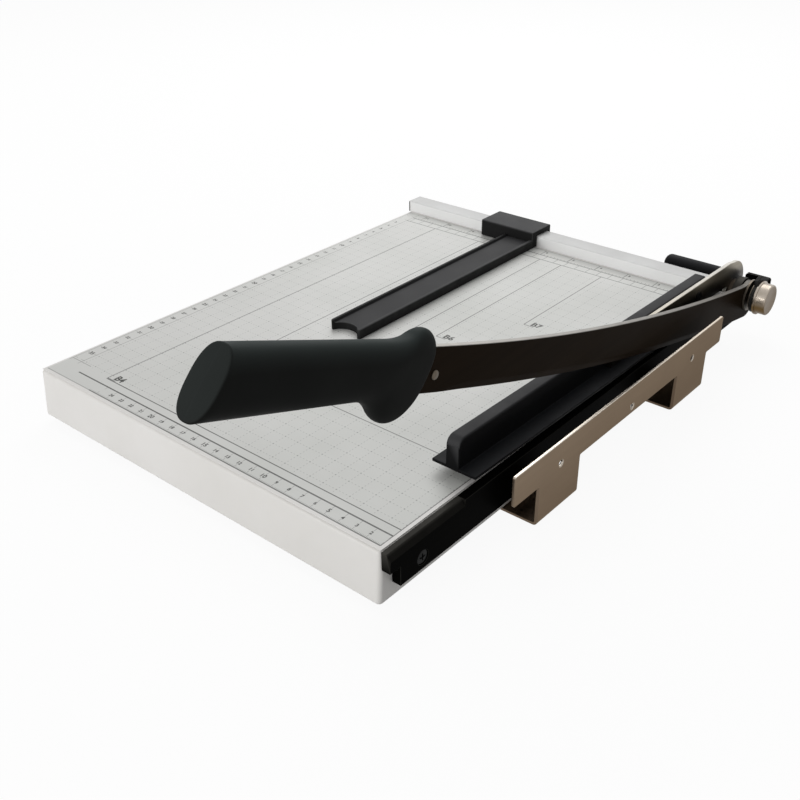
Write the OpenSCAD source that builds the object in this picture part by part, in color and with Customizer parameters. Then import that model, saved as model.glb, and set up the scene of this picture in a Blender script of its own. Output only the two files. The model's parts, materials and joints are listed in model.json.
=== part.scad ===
// Guillotine paper cutter: a steel tray with a printed table, a rear fence with a sliding gauge,
// a lower knife bar, a swinging blade arm, a press bar on the same bolt and a blade guard.
// Pieces are drawn with x = 0 on the cutting plane, y = 0 on the fence's front face and z = 0 on
// the table top, and the whole is then moved so that its origin is below the middle of its box.

/* [Base tray] */
// Width of the tray, left to right
base_w = 300; // [250:1:360]
// Depth of the tray, front to rear
base_d = 400; // [360:1:460]
// Height from the tray's lower edge to the table top
wall_h = 35; // [32:0.5:50]
// Sheet thickness of the tray
base_t = 1.5; // [1:0.1:2.5]
// Corner radius of the tray
base_r = 3; // [2:0.5:8]
// Width of the lip folded in below
lip_w = 18; // [17.5:0.5:26]
// Depth of the tray behind the fence's front face
fence_set = 15; // [12:0.5:20]

/* [Printed table] */
// Thickness of the printed sheet
print_t = 0.4; // [0.2:0.1:1]
// Bare margin round the printed sheet
print_edge = 1; // [0.5:0.1:4]

/* [Rear fence] */
// Height of the fence above the table
fence_h = 9.2; // [7:0.1:12]
// Sheet thickness of the fence
fence_t = 1.2; // [0.8:0.1:2]
// How far the fence reaches past the tray on the left
fence_over = 2; // [0:0.5:5]
// How far the fence's rear skirt hangs below the table
fence_skirt = 14; // [12:0.5:22]
// Number of fence rivets
fence_rivets_n = 4; // [2:1:6]
// Depth of the fence rivets below the table
fence_rivet_drop = 8.5; // [8:0.1:9.5]

/* [Knife bar] */
// Thickness of the knife bar
bar_t = 6; // [5:0.5:9]
// Height of the knife bar
bar_h = 24; // [22:0.5:30]
// Height of the nose at the bar's front end
nose_h = 11.5; // [8:0.5:14]
// Length of the nose at the bar's front end
nose_l = 8; // [3:0.5:14]
// Length of the lead-in chamfer at the front
lead_l = 62; // [30:1:90]
// Width of the lead-in chamfer on the bar's top
lead_w = 2.6; // [1:0.1:4]
// Depth of the lead-in chamfer on the bar's face
lead_d = 4; // [2:0.1:6]
// Number of knife screws
knife_screws_n = 4; // [3:1:5]
// Distance of the first knife screw from the tray's front
knife_screw_front = 26; // [20:1:40]
// Depth of the knife screws below the table
knife_screw_drop = 16.5; // [14:0.5:17.5]

/* [Guard] */
// Clear gap between the cutting plane and the guard
guard_gap = 15.2; // [13:0.1:20]
// Sheet thickness of the guard
guard_t = 2; // [1.2:0.1:2.5]
// Height of the guard's rail
guard_h = 19.9; // [16:0.1:22]
// How far the guard stands above the table
guard_up = 10.2; // [6:0.1:12]
// Length of the guard's rail
guard_l = 255; // [230:1:280]
// Distance from the fence's face to the guard's rear end
guard_rear = 47; // [35:1:55]
// Width of each guard leg
leg_w = 43.5; // [36:0.5:50]
// Distance of the front leg from the rail's front end
leg_front = 25; // [10:0.5:40]
// Distance of the rear leg from the rail's rear end
leg_rear = 21; // [10:0.5:40]
// Cut-off at the rail's corners
guard_nip = 1; // [0.5:0.1:4]
// Diameter of the accessory holes
guard_hole_d = 4.2; // [3:0.1:6]
// Distance of the first accessory hole from the rail's front end
guard_hole_front = 47.2; // [30:0.1:60]
// Spacing of the accessory holes
guard_hole_pitch = 82; // [60:0.5:88]
// Height of the accessory holes above the rail's lower edge
guard_hole_rise = 4.9; // [4:0.1:10]
// Distance of the tab screws from the tray's right wall
tab_screw_in = 10; // [7:0.5:12]
// Spacing of the two screws in each tab
tab_screw_pitch = 24; // [16:0.5:28]

/* [Feet] */
// Diameter of the rubber feet
foot_d = 12; // [11:0.5:13]
// Height of the rubber feet
foot_h = 5; // [4.5:0.1:10]
// Distance of the feet's centres from the tray's walls
foot_inset = 11.4; // [8.5:0.1:11.5]

/* [Pivot] */
// Distance of the bolt's axis behind the tray
pivot_back = 15; // [14:0.5:20]
// Depth of the bolt's axis below the table
pivot_drop = 4.5; // [3:0.1:6]
// Diameter of the bolt
bolt_d = 10; // [8:0.5:10.5]
// Diameter of the bolt's cap
cap_d = 23.5; // [18:0.5:26]
// Length of the bolt's cap
cap_l = 9.2; // [5:0.1:14]
// Chamfer on the bolt's cap
cap_edge = 0.8; // [0.3:0.1:2]
// Diameter of the ring behind the cap
cap_ring_d = 26; // [20:0.5:27]
// Thickness of the ring behind the cap
cap_ring_l = 1.8; // [0.8:0.1:2.5]
// Thickness of the bracket behind the cap
ear_t = 3; // [2:0.1:4]
// Radius of the pivot ears
ear_r = 12; // [11.5:0.1:13.5]
// Rise of the bracket's top above the bolt
ear_rise = 17; // [14:0.5:20]
// Thickness of the thrust washer
washer_t = 1.5; // [1:0.1:2.5]
// Diameter of the thrust washer
washer_d = 24; // [18:0.5:27]
// Free height of the disc spring
spring_l = 3; // [2:0.1:4]
// Diameter of the disc spring
spring_d = 21; // [17:0.5:24]
// Length of the spacer between knife bar and press lever
spacer_t = 3.55; // [3:0.05:6]
// Diameter of the spacer
spacer_d = 18; // [15:0.5:22]
// Width of the pivot nut across its flats
pivot_nut_af = 16; // [14:0.5:16.5]
// Thickness of the pivot nut
pivot_nut_h = 6; // [4:0.5:8]

/* [Blade arm] */
// Thickness of the arm
arm_t = 4; // [3:0.1:5]
// Radius of the blade's sickle curve
blade_radius = 2735; // [2200:5:4000]
// Width of the arm at its root
root_w = 26; // [22:0.5:28]
// Width of the arm at the handle
tip_w = 23; // [18:0.5:25]
// Drop of the arm's middle line below the bolt
root_drop = 4.9; // [3:0.1:6]
// Radius of the arm's eye
eye_r = 10.8; // [10.5:0.1:13]
// Tilt of the arm's root when it is closed
closed_tilt = -1.9; // [-3:0.1:-1]
// Opening of the arm as drawn, from closed
arm_open = 13; // [5:0.5:40]
// Outer diameter of the arm's bush
bush_d = 14; // [13:0.5:16]
// Length of the tang inside the handle
tang_l = 88; // [60:1:100]
// Height of the tang
tang_h = 14; // [10:0.5:16]

/* [Handle] */
// Length of the handle in front of the tray
handle_l = 127.5; // [115:0.5:150]
// Height of the grip at its front end
handle_h = 29.6; // [27:0.2:34]
// Height of the grip behind the finger guard
neck_h = 26.6; // [24:0.2:30]
// Width of the grip
handle_w = 18; // [15:0.5:23]
// Height of the handle's axis above the blade's middle line
handle_rise = 0.8; // [0:0.1:3]
// Turn of the handle above the blade's own slope, in degrees
handle_cant = 0.7; // [0:0.1:3]
// Slant of the handle's front end
end_slant = 23.2; // [0:0.1:30]
// Radius of the lower finger guard
lower_guard_r = 16.5; // [13:0.5:18]
// How far the lower finger guard hangs below the axis
lower_guard_drop = 26.2; // [24:0.1:30]
// Place of the lower finger guard along the handle
lower_guard_at = 10.3; // [6:0.1:14]
// Radius of the upper finger guard
upper_guard_r = 11; // [9:0.5:14]
// How far the upper finger guard stands above the axis
upper_guard_rise = 19.1; // [16:0.1:22]
// Place of the upper finger guard along the handle
upper_guard_at = -3.7; // [-5:0.1:1]
// Width of the finger guards
finger_w = 13; // [11:0.5:18]
// Height of the handle above the table where it overlaps the tray
handle_clear = 0.8; // [0.5:0.1:2]
// Place of the first tang pin along the handle
pin_at = 38; // [32:0.5:45]
// Spacing of the tang pins
pin_pitch = 38; // [20:0.5:40]
// Diameter of the tang pins
pin_d = 4; // [3:0.1:5]
// Cover of the grip over the ends of the tang pins
pin_cover = 4; // [2:0.1:5]

/* [Press bar] */
// Distance of the press bar's front end from the tray's front
press_front = 72; // [60:1:90]
// Gap between the press bar's rear end and the fence
press_rear = 17; // [4:0.5:30]
// Width of the press bar's flange
press_w = 30; // [26:0.5:34]
// Gap between the flange and the cutting plane
press_edge = 1.3; // [0.8:0.1:3]
// Thickness of the flange
flange_t = 2; // [1.5:0.1:3]
// Height of the press bar
press_h = 20.8; // [18:0.1:24]
// Thickness of the upright web
web_t = 9; // [7:0.5:11]
// Radius of the web's front corner
web_r = 5; // [3:0.5:10]
// Lift of the press bar as drawn, in degrees from flat
press_lift = 1.07; // [0.8:0.01:5]

/* [Press lever] */
// Thickness of the lever
lever_t = 3; // [2:0.1:4]
// Reach of the lever in front of the fence
lever_reach = 155; // [100:1:180]
// Height of the lever above the press bar's flange
lever_h = 18.5; // [17:0.1:20]
// Radius of the lever's hub below the bolt
hub_r = 12; // [10:0.1:12.5]
// Radius of the lever's head
head_r = 21; // [20:0.1:23]
// Number of lever rivets
lever_rivets_n = 3; // [2:1:5]
// Distance of the rod behind the bolt
rod_back = 13; // [12.5:0.1:14]
// Height of the rod above the bolt
rod_up = 3.2; // [2:0.1:6]
// Diameter of the rod
rod_d = 6; // [4:0.1:6.5]
// Diameter of the sleeve on the rod
sleeve_d = 14; // [10:0.5:16]
// Length of the sleeve
sleeve_l = 51; // [30:1:70]
// Gap between the lever and the sleeve
sleeve_gap = 8.6; // [8.2:0.1:12]

/* [Gauge] */
// Distance of the gauge's working side from the cutting plane
gauge_set = 169; // [100:0.5:200]
// Width of the gauge bar
gauge_w = 28; // [18:0.5:32]
// Length of the gauge bar
gauge_l = 213; // [150:1:260]
// Height of the gauge bar above the table
gauge_h = 7.6; // [6:0.1:9]
// Width of the gauge bar's raised rims
rim_w = 2.6; // [1.5:0.1:5]
// Depth of the channel between the rims
rim_d = 1.8; // [1:0.1:2.5]
// Depth of the scoop at the gauge bar's front end
scoop_d = 7; // [1:0.1:9]
// Width of the gauge block
block_w = 52; // [40:0.5:60]
// Depth of the gauge block in front of the fence
block_front = 7.5; // [5:0.1:12]
// Depth of the gauge block behind the fence
block_rear = 3.3; // [2.6:0.1:5]
// Thickness of the gauge block over the fence
block_top = 4.9; // [2.5:0.1:6]
// How far the block's rear leg hangs below the table
block_hook = 3; // [1:0.1:3.5]
// Length of the block's tongue under the gauge bar
tongue_l = 26; // [18:0.5:40]
// Thickness of the block's tongue
tongue_h = 2.6; // [2.4:0.1:3]
// How far the gauge screws' heads are sunk in the tongue
gauge_screw_sink = 0.3; // [0.2:0.1:0.4]
// Thickness of the felt pad
pad_t = 1.2; // [0.8:0.1:1.6]

/* [Fasteners] */
// Diameter of the knife screws
knife_screw_d = 5; // [4:0.1:6]
// Diameter of the guard, foot and gauge screws
small_screw_d = 4; // [3:0.1:4.4]
// Diameter of the bracket screws
bracket_screw_d = 3; // [2.5:0.1:3.4]
// Diameter of the rivets
rivet_d = 4; // [3:0.1:5]
// Head width of every fastener, times its diameter
head_ratio = 1.75; // [1.6:0.05:2]
// Height of the screw heads
head_h = 2; // [1.4:0.1:2.4]
// Height of the rivet heads
rivet_head_h = 1.2; // [0.8:0.1:1.6]
// Thickness of the nuts
nut_h = 3.2; // [2.4:0.1:4]

/* [Fits] */
// Radial room round screws, pins and fixed pieces
hole_gap = 0.1; // [0.05:0.01:0.2]
// Radial running room on the bolt
run_gap = 0.05; // [0.02:0.01:0.09]
// Side room beside turning pieces
side_gap = 0.15; // [0.1:0.01:0.25]
// Gap between the knife bar's face and the arm
arm_gap = 0.3; // [0.15:0.01:0.5]
// Room round the gauge on the fence and table
slide_gap = 0.4; // [0.3:0.01:0.6]
// Room between the arm's root and the bracket's rear wall
swing_gap = 2.5; // [1.5:0.1:4]
// Gap between the fence's end and the press lever
end_gap = 0.8; // [0.4:0.1:2]
// How far the knife screws are sunk below the bar's face
screw_sink = 0.4; // [0.2:0.1:0.6]

/* [Hidden] */
$fn = 64;
eps = 0.05;

// Tray
base_right = -bar_t;
base_left = base_right - base_w;
base_front = fence_set - base_d;
base_low = -wall_h;
base_top = -print_t;

// Fence
fence_left = base_left - fence_over;
fence_back = fence_set + fence_t;
fence_rivet_xs = [for (i = [0 : fence_rivets_n - 1]) base_left + base_w * (i + 0.5) / fence_rivets_n];

// Holes for the fasteners
bolt_hole_d = bolt_d + 2 * hole_gap;
knife_hole_d = knife_screw_d + 2 * hole_gap;
small_hole_d = small_screw_d + 2 * hole_gap;
bracket_hole_d = bracket_screw_d + 2 * hole_gap;
rivet_hole_d = rivet_d + 2 * hole_gap;

// Stack along the bolt
pivot_y = fence_set + pivot_back;
pivot_z = -pivot_drop;
arm_x0 = arm_gap;
arm_x1 = arm_x0 + arm_t;
washer_x0 = arm_x1 + side_gap;
spring_x0 = washer_x0 + washer_t;
ear_x0 = spring_x0 + spring_l;
cap_x0 = ear_x0 + ear_t;
cap_x1 = cap_x0 + cap_l;
lever_x1 = -bar_t - spacer_t - side_gap;
lever_x0 = lever_x1 - lever_t;
fence_right = lever_x0 - end_gap;
nut_x1 = lever_x0 - side_gap;
nut_x0 = nut_x1 - pivot_nut_h;
bolt_end = 1.5;
wall_y = pivot_y + max(eye_r, root_w / 2) + swing_gap;
bracket_low = pivot_z - ear_r;
bracket_high = pivot_z + ear_r - 3;
ear_back = pivot_z + 5;
bracket_screw_l = wall_y - pivot_y - bolt_d / 2 - 2.5;
bracket_screw_zs = [bracket_low + 3.5, ear_back - 3.5];

// Knife bar
knife_head_d = knife_screw_d * head_ratio;
knife_screw_last = -12;
knife_screw_step = (knife_screw_last - base_front - knife_screw_front) / (knife_screws_n - 1);
knife_screw_ys = [for (i = [0 : knife_screws_n - 1]) base_front + knife_screw_front + i * knife_screw_step];
knife_seat = -screw_sink - head_h;

// Guard
guard_front = -guard_rear - guard_l;
guard_low = guard_up - guard_h;
guard_out = guard_gap + guard_t;
tab_low = base_low - guard_t;
tab_end = base_right - lip_w + 1;
leg_ys = [guard_front + leg_front, -guard_rear - leg_rear - leg_w];
tab_screw_x = base_right - tab_screw_in;
tab_screw_ys = [for (y = leg_ys) for (k = [-1, 1]) y + leg_w / 2 + k * tab_screw_pitch / 2];
guard_hole_ys = [for (i = [0 : 2]) guard_front + guard_hole_front + i * guard_hole_pitch];
guard_hole_z = guard_low + guard_hole_rise;

// Feet
foot_xs = [base_left + foot_inset, base_right - foot_inset];
foot_ys = [base_front + foot_inset, fence_set - foot_inset];
foot_recess = head_h + 1;

// Arm and handle, as distances u from the bolt and heights v above it
rest_tilt = closed_tilt + arm_open;
arm_mid = (arm_x0 + arm_x1) / 2;
blade_steps = 24;
handle_u = pivot_y - base_front + 1;
handle_slope = asin(handle_u / blade_radius) + handle_cant;
handle_v = middle_v(handle_u) + handle_rise;
tip_u = handle_u + handle_l * cos(handle_slope) + handle_h / 2 * sin(handle_slope);
tip_v = handle_v + handle_l * sin(handle_slope) - handle_h / 2 * cos(handle_slope);
tip_y = pivot_y - tip_u * cos(rest_tilt) + tip_v * sin(rest_tilt);
rivet_back = upper_guard_r - upper_guard_at + rivet_d * head_ratio / 2 + 1;
blade_end = handle_u + 12;

// Press bar and lever, drawn flat
press_y0 = base_front + press_front;
press_y1 = -press_rear;
flange_x1 = -press_edge;
web_x0 = lever_x0 - web_t;
lever_high = flange_t + lever_h;
lever_front = -lever_reach;
lever_rivet_margin = 16;
lever_rivet_step = (lever_reach - press_rear - 2 * lever_rivet_margin) / (lever_rivets_n - 1);
lever_rivet_ys = [for (i = [0 : lever_rivets_n - 1]) lever_front + lever_rivet_margin + i * lever_rivet_step];
lever_rivet_z = (flange_t + lever_high) / 2;
head_front = fence_back + 1.3;
head_top = [pivot_y - 2, pivot_z + 2.5 + head_r];
lever_ease = 9;
rod_y = pivot_y + rod_back;
rod_z = pivot_z + rod_up;
sleeve_x1 = lever_x0 - sleeve_gap;
sleeve_x0 = sleeve_x1 - sleeve_l;
sleeve_edge = 2.5;

// Gauge
gauge_x1 = -gauge_set;
gauge_x0 = gauge_x1 - gauge_w;
gauge_mid = (gauge_x0 + gauge_x1) / 2;
gauge_y1 = -block_front;
gauge_y0 = gauge_y1 - gauge_l;
scoop_w = gauge_w - 2 * rim_w;
scoop_r = (scoop_w * scoop_w / 4 + scoop_d * scoop_d) / (2 * scoop_d);
channel_z = gauge_h - rim_d;
tongue_w = gauge_w - 2 * rim_w - 2 * hole_gap;
tongue_top = slide_gap + tongue_h;
gauge_head_z = slide_gap + gauge_screw_sink;
gauge_seat_z = gauge_head_z + rivet_head_h;
gauge_screw_end = channel_z - 0.8;
gauge_screw_ys = [gauge_y1 - tongue_l * 0.3, gauge_y1 - tongue_l * 0.75];
pad_y0 = fence_back + hole_gap;
pad_w = block_w * 0.6;
pad_z = [1, fence_h - 1];

// Middle of the whole box, with the bench at z = 0
bracket_head_h = 1.6;
origin = [
    -(fence_left + cap_x1) / 2,
    -(tip_y + wall_y + ear_t + bracket_head_h) / 2,
    wall_h + foot_h
];

// Height of the blade's middle line at distance u from the bolt
function middle_v(u) = -root_drop + blade_radius - sqrt(blade_radius * blade_radius - u * u);

// Half the width of the blade at distance u from the bolt
function half_w(u) = (root_w + (tip_w - root_w) * u / blade_end) / 2;

// Frames and plain shapes

module placed() {
    translate(origin) children();
}

// Turns a flat-drawn piece up about the bolt
module lifted(angle) {
    translate([0, pivot_y, pivot_z]) rotate([-angle, 0, 0]) children();
}

module on_arm() {
    placed() lifted(rest_tilt) children();
}

module on_handle() {
    translate([arm_mid, -handle_u, handle_v]) rotate([-handle_slope, 0, 0]) children();
}

module on_press() {
    placed() lifted(press_lift) translate([0, -pivot_y, -pivot_z]) children();
}

// Extrudes an outline drawn in y and z along x
module along_x(x0, x1) {
    translate([x0, 0, 0]) rotate([90, 0, 90]) linear_extrude(x1 - x0) children();
}

// Extrudes an outline drawn in x and z along y
module along_y(y0, y1) {
    translate([0, y1, 0]) rotate([90, 0, 0]) linear_extrude(y1 - y0) children();
}

module rod_x(x0, x1, d, y = 0, z = 0) {
    translate([x0, y, z]) rotate([0, 90, 0]) cylinder(h = x1 - x0, d = d);
}

module rod_y(y0, y1, d, x, z) {
    translate([x, y0, z]) rotate([-90, 0, 0]) cylinder(h = y1 - y0, d = d);
}

module rod_z(z0, z1, d, x, y) {
    translate([x, y, z0]) cylinder(h = z1 - z0, d = d);
}

module block(from, to) {
    translate(from) cube(to - from);
}

module area(from, to) {
    translate(from) square(to - from);
}

// Round plate on the bolt with a bore
module ring_x(x0, x1, d, bore) {
    translate([0, pivot_y, pivot_z]) difference() {
        rod_x(x0, x1, d);
        rod_x(x0 - eps, x1 + eps, bore);
    }
}

// Upright nut on a screw along z
module nut_z(x, y, d) {
    z0 = base_low + base_t;
    difference() {
        translate([x, y, z0]) cylinder(h = nut_h, d = d * head_ratio / cos(30), $fn = 6);
        rod_z(z0 - eps, z0 + nut_h + eps, d + 2 * hole_gap, x, y);
    }
}

// Cross recess for a screw head, cut down from z = 0
module cross_recess(d) {
    arm = d * 0.9;
    slot = d * 0.22;
    for (a = [0, 90]) rotate(a) translate([-arm / 2, -slot / 2, -head_h / 2]) cube([arm, slot, head_h]);
}

// Screw from below: its head hangs under z0 and its shank reaches past the nut
module screw_up(x, y, z0, d) {
    difference() {
        union() {
            rod_z(z0 - head_h, z0, d * head_ratio, x, y);
            rod_z(z0 - eps, base_low + base_t + nut_h + 1, d, x, y);
        }
        translate([x, y, z0 - head_h]) mirror([0, 0, 1]) cross_recess(d);
    }
}

// Outline of the tray drawn in by a margin
module tray_outline(inset) {
    r = max(base_r - inset, 0.5);
    from = [base_left + inset, base_front + inset];
    to = [base_right - inset, fence_set - inset];
    area(from + [r, 0], to - [r, 0]);
    area(from + [0, r], to - [0, r]);
    for (x = [from[0] + r, to[0] - r]) for (y = [from[1] + r, to[1] - r]) translate([x, y]) circle(r);
}

// Base body

module base_shell() {
    color("whitesmoke") placed() difference() {
        translate([0, 0, base_low]) linear_extrude(base_top - base_low) tray_outline(0);
        translate([0, 0, base_low + base_t])
            linear_extrude(base_top - base_low - 2 * base_t) tray_outline(base_t);
        translate([0, 0, base_low - 1]) linear_extrude(base_t + 2) tray_outline(lip_w);
        for (y = knife_screw_ys)
            rod_x(base_right - base_t - 1, base_right + 1, knife_hole_d, y, -knife_screw_drop);
        for (x = fence_rivet_xs)
            rod_y(fence_set - base_t - 1, fence_set + 1, rivet_hole_d, x, -fence_rivet_drop);
        for (y = tab_screw_ys) rod_z(base_low - 1, base_low + base_t + 1, small_hole_d, tab_screw_x, y);
        for (x = foot_xs) for (y = foot_ys) rod_z(base_low - 1, base_low + base_t + 1, small_hole_d, x, y);
    }
}

module print_sheet() {
    color("gainsboro") placed()
        block([base_left + print_edge, base_front + print_edge, base_top],
            [base_right - print_edge, -hole_gap, 0]);
}

module rear_fence() {
    color("lightgray") placed() difference() {
        along_x(fence_left, fence_right) {
            area([0, base_top], [fence_t, fence_h]);
            area([0, fence_h - fence_t], [fence_back, fence_h]);
            area([fence_set, -fence_skirt], [fence_back, fence_h]);
        }
        for (x = fence_rivet_xs)
            rod_y(fence_set - 1, fence_back + 1, rivet_hole_d, x, -fence_rivet_drop);
    }
}

module fence_rivets() {
    inside = fence_set - base_t;
    color("silver") placed() for (x = fence_rivet_xs) {
        rod_y(inside - rivet_head_h, inside, rivet_d * head_ratio, x, -fence_rivet_drop);
        rod_y(inside - eps, fence_back + eps, rivet_d, x, -fence_rivet_drop);
        rod_y(fence_back, fence_back + rivet_head_h, rivet_d * head_ratio, x, -fence_rivet_drop);
    }
}

module knife_bar() {
    color("dimgray") placed() difference() {
        along_x(-bar_t, 0) difference() {
            union() {
                area([base_front, -nose_h], [base_front + nose_l, 0]);
                area([base_front + nose_l, -bar_h], [pivot_y, 0]);
                area([pivot_y, bracket_low], [wall_y, ear_back]);
                translate([pivot_y, pivot_z]) circle(ear_r);
            }
            translate([pivot_y, pivot_z]) circle(d = bolt_hole_d);
        }
        along_y(base_front - 1, base_front + lead_l)
            polygon([[1, -lead_d - lead_d / lead_w], [1, 1], [-lead_w, 1], [-lead_w, 0], [0, -lead_d]]);
        for (y = knife_screw_ys) {
            rod_x(-bar_t - 1, 1, knife_hole_d, y, -knife_screw_drop);
            rod_x(knife_seat, 1, knife_head_d + 2 * hole_gap, y, -knife_screw_drop);
        }
        for (z = bracket_screw_zs)
            rod_y(wall_y - bracket_screw_l - 0.5, wall_y + 1, bracket_hole_d, -bar_t / 2, z);
    }
}

module knife_screws() {
    color("silver") placed() for (y = knife_screw_ys) translate([0, y, -knife_screw_drop]) difference() {
        union() {
            rod_x(knife_seat, -screw_sink, knife_head_d);
            rod_x(base_right - base_t - nut_h - 1, knife_seat + eps, knife_screw_d);
        }
        translate([-screw_sink, 0, 0]) rotate([0, 90, 0]) cross_recess(knife_screw_d);
    }
}

module knife_nuts() {
    x1 = base_right - base_t;
    color("silver") placed() for (y = knife_screw_ys) translate([0, y, -knife_screw_drop]) difference() {
        translate([x1 - nut_h, 0, 0]) rotate([0, 90, 0])
            cylinder(h = nut_h, d = knife_screw_d * head_ratio / cos(30), $fn = 6);
        rod_x(x1 - nut_h - 1, x1 + 1, knife_hole_d);
    }
}

module guard() {
    nip = guard_nip;
    rear = -guard_rear;
    color("rosybrown") placed() difference() {
        union() {
            along_x(guard_gap, guard_out) {
                polygon([
                    [guard_front + nip, guard_low], [rear - nip, guard_low], [rear, guard_low + nip],
                    [rear, guard_up - nip], [rear - nip, guard_up], [guard_front + nip, guard_up],
                    [guard_front, guard_up - nip], [guard_front, guard_low + nip]
                ]);
                for (y = leg_ys) area([y, tab_low], [y + leg_w, guard_up - guard_h / 2]);
            }
            for (y = leg_ys) block([tab_end, y, tab_low], [guard_out, y + leg_w, base_low]);
        }
        for (y = guard_hole_ys) rod_x(guard_gap - 1, guard_out + 1, guard_hole_d, y, guard_hole_z);
        for (y = tab_screw_ys)
            rod_z(tab_low - 1, base_low + 1, small_hole_d, tab_screw_x, y);
    }
}

module guard_screws() {
    color("silver") placed() for (y = tab_screw_ys) screw_up(tab_screw_x, y, tab_low, small_screw_d);
}

module guard_nuts() {
    color("silver") placed() for (y = tab_screw_ys) nut_z(tab_screw_x, y, small_screw_d);
}

module rubber_feet() {
    color("black") placed() for (x = foot_xs) for (y = foot_ys) difference() {
        rod_z(base_low - foot_h, base_low, foot_d, x, y);
        rod_z(base_low - foot_h - 1, base_low + 1, small_hole_d, x, y);
        rod_z(base_low - foot_h - 1, base_low - foot_h + foot_recess, small_screw_d * head_ratio + 1, x, y);
    }
}

module foot_screws() {
    color("silver") placed() for (x = foot_xs) for (y = foot_ys)
        screw_up(x, y, base_low - foot_h + foot_recess, small_screw_d);
}

module foot_nuts() {
    color("silver") placed() for (x = foot_xs) for (y = foot_ys) nut_z(x, y, small_screw_d);
}

module pivot_bracket() {
    back = wall_y + ear_t;
    color("black") placed() difference() {
        union() {
            along_x(ear_x0, cap_x0) difference() {
                union() {
                    translate([pivot_y, pivot_z]) circle(ear_r);
                    polygon([
                        [pivot_y, bracket_low], [back, bracket_low], [back, bracket_high],
                        [pivot_y, pivot_z + ear_rise], [pivot_y - ear_r / 2, pivot_z + ear_rise - 2],
                        [pivot_y - ear_r / 2, pivot_z]
                    ]);
                }
                translate([pivot_y, pivot_z]) circle(d = bolt_hole_d);
            }
            block([-bar_t, wall_y, bracket_low], [cap_x0, back, bracket_high]);
        }
        for (z = bracket_screw_zs)
            rod_y(wall_y - 1, back + 1, bracket_hole_d, -bar_t / 2, z);
    }
}

module bracket_screws() {
    back = wall_y + ear_t;
    color("silver") placed() for (z = bracket_screw_zs) difference() {
        union() {
            rod_y(wall_y - bracket_screw_l, back + eps, bracket_screw_d, -bar_t / 2, z);
            rod_y(back, back + bracket_head_h, bracket_screw_d * head_ratio, -bar_t / 2, z);
        }
        translate([-bar_t / 2, back + bracket_head_h, z]) rotate([-90, 0, 0]) cross_recess(bracket_screw_d);
    }
}

module pivot_bolt() {
    color("tan") placed() translate([0, pivot_y, pivot_z]) {
        rod_x(nut_x0 - bolt_end, cap_x0 + eps, bolt_d);
        rod_x(cap_x0, cap_x0 + cap_ring_l, cap_ring_d);
        rod_x(cap_x0, cap_x1 - cap_edge, cap_d);
        translate([cap_x1 - cap_edge, 0, 0]) rotate([0, 90, 0])
            cylinder(h = cap_edge, d1 = cap_d, d2 = cap_d - 2 * cap_edge);
    }
}

module thrust_washer() {
    color("silver") placed() ring_x(washer_x0, spring_x0, washer_d, bolt_hole_d);
}

module disc_spring() {
    inner = bolt_d / 2 + hole_gap;
    leaf = spring_l / 3;
    color("gray") placed() translate([spring_x0, pivot_y, pivot_z]) rotate([0, 90, 0]) rotate_extrude()
        polygon([[inner, 0], [spring_d / 2, spring_l - leaf], [spring_d / 2, spring_l], [inner, leaf]]);
}

module spacer_bush() {
    color("silver") placed() ring_x(-bar_t - spacer_t, -bar_t, spacer_d, bolt_hole_d);
}

module pivot_nut() {
    color("silver") placed() translate([0, pivot_y, pivot_z]) difference() {
        translate([nut_x0, 0, 0]) rotate([0, 90, 0])
            cylinder(h = pivot_nut_h, d = pivot_nut_af / cos(30), $fn = 6);
        rod_x(nut_x0 - 1, nut_x1 + 1, bolt_hole_d);
    }
}

// Arm body

// Sickle outline between two distances from the bolt, grown by a margin
module blade_outline(grow) {
    us = [for (i = [0 : blade_steps]) blade_end * i / blade_steps];
    upper = [for (u = us) [-u, middle_v(u) + half_w(u) + grow]];
    lower = [for (i = [blade_steps : -1 : 0]) [-us[i], middle_v(us[i]) - half_w(us[i]) - grow]];
    polygon(concat(upper, lower));
}

// Straight tang along the handle's axis, grown by a margin
module tang_outline(grow) {
    translate([-handle_u, handle_v]) rotate(-handle_slope)
        area([-tang_l - grow, -tang_h / 2 - grow], [0, tang_h / 2 + grow]);
}

module blade_arm() {
    color("dimgray") on_arm() difference() {
        along_x(arm_x0, arm_x1) difference() {
            union() {
                blade_outline(0);
                tang_outline(0);
                circle(eye_r);
                translate([0, -root_drop]) circle(root_w / 2);
            }
            circle(d = bush_d + 2 * hole_gap);
        }
        tang_pin_rods(pin_d + 2 * hole_gap, handle_w);
        on_handle() handle_rivet_rod(rivet_hole_d, arm_t + 2);
    }
}

module arm_bush() {
    color("darkgoldenrod") on_arm() difference() {
        rod_x(arm_x0, arm_x1, bush_d);
        rod_x(arm_x0 - 1, arm_x1 + 1, bolt_d + 2 * run_gap);
    }
}

module oval(w, h) {
    r = min(w, h) / 2;
    area([-r, r - h / 2], [r, h / 2 - r]);
    area([r - w / 2, -r], [w / 2 - r, r]);
    for (x = [r - w / 2, w / 2 - r]) for (z = [r - h / 2, h / 2 - r]) translate([x, z]) circle(r, $fn = 48);
}

// Thin oval across the handle's axis
module handle_slice(at, w, h) {
    along_y(-at - 0.5, -at) oval(w, h);
}

// Rounded disc of a finger guard
module finger_disc(at, z, r) {
    soft = 4;
    translate([0, -at, z]) rotate([0, 90, 0]) {
        cylinder(h = finger_w - 2 * soft, r = r, center = true, $fn = 32);
        cylinder(h = finger_w - soft, r = r - soft / 3, center = true, $fn = 32);
        cylinder(h = finger_w, r = r - soft, center = true, $fn = 32);
    }
}

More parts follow.
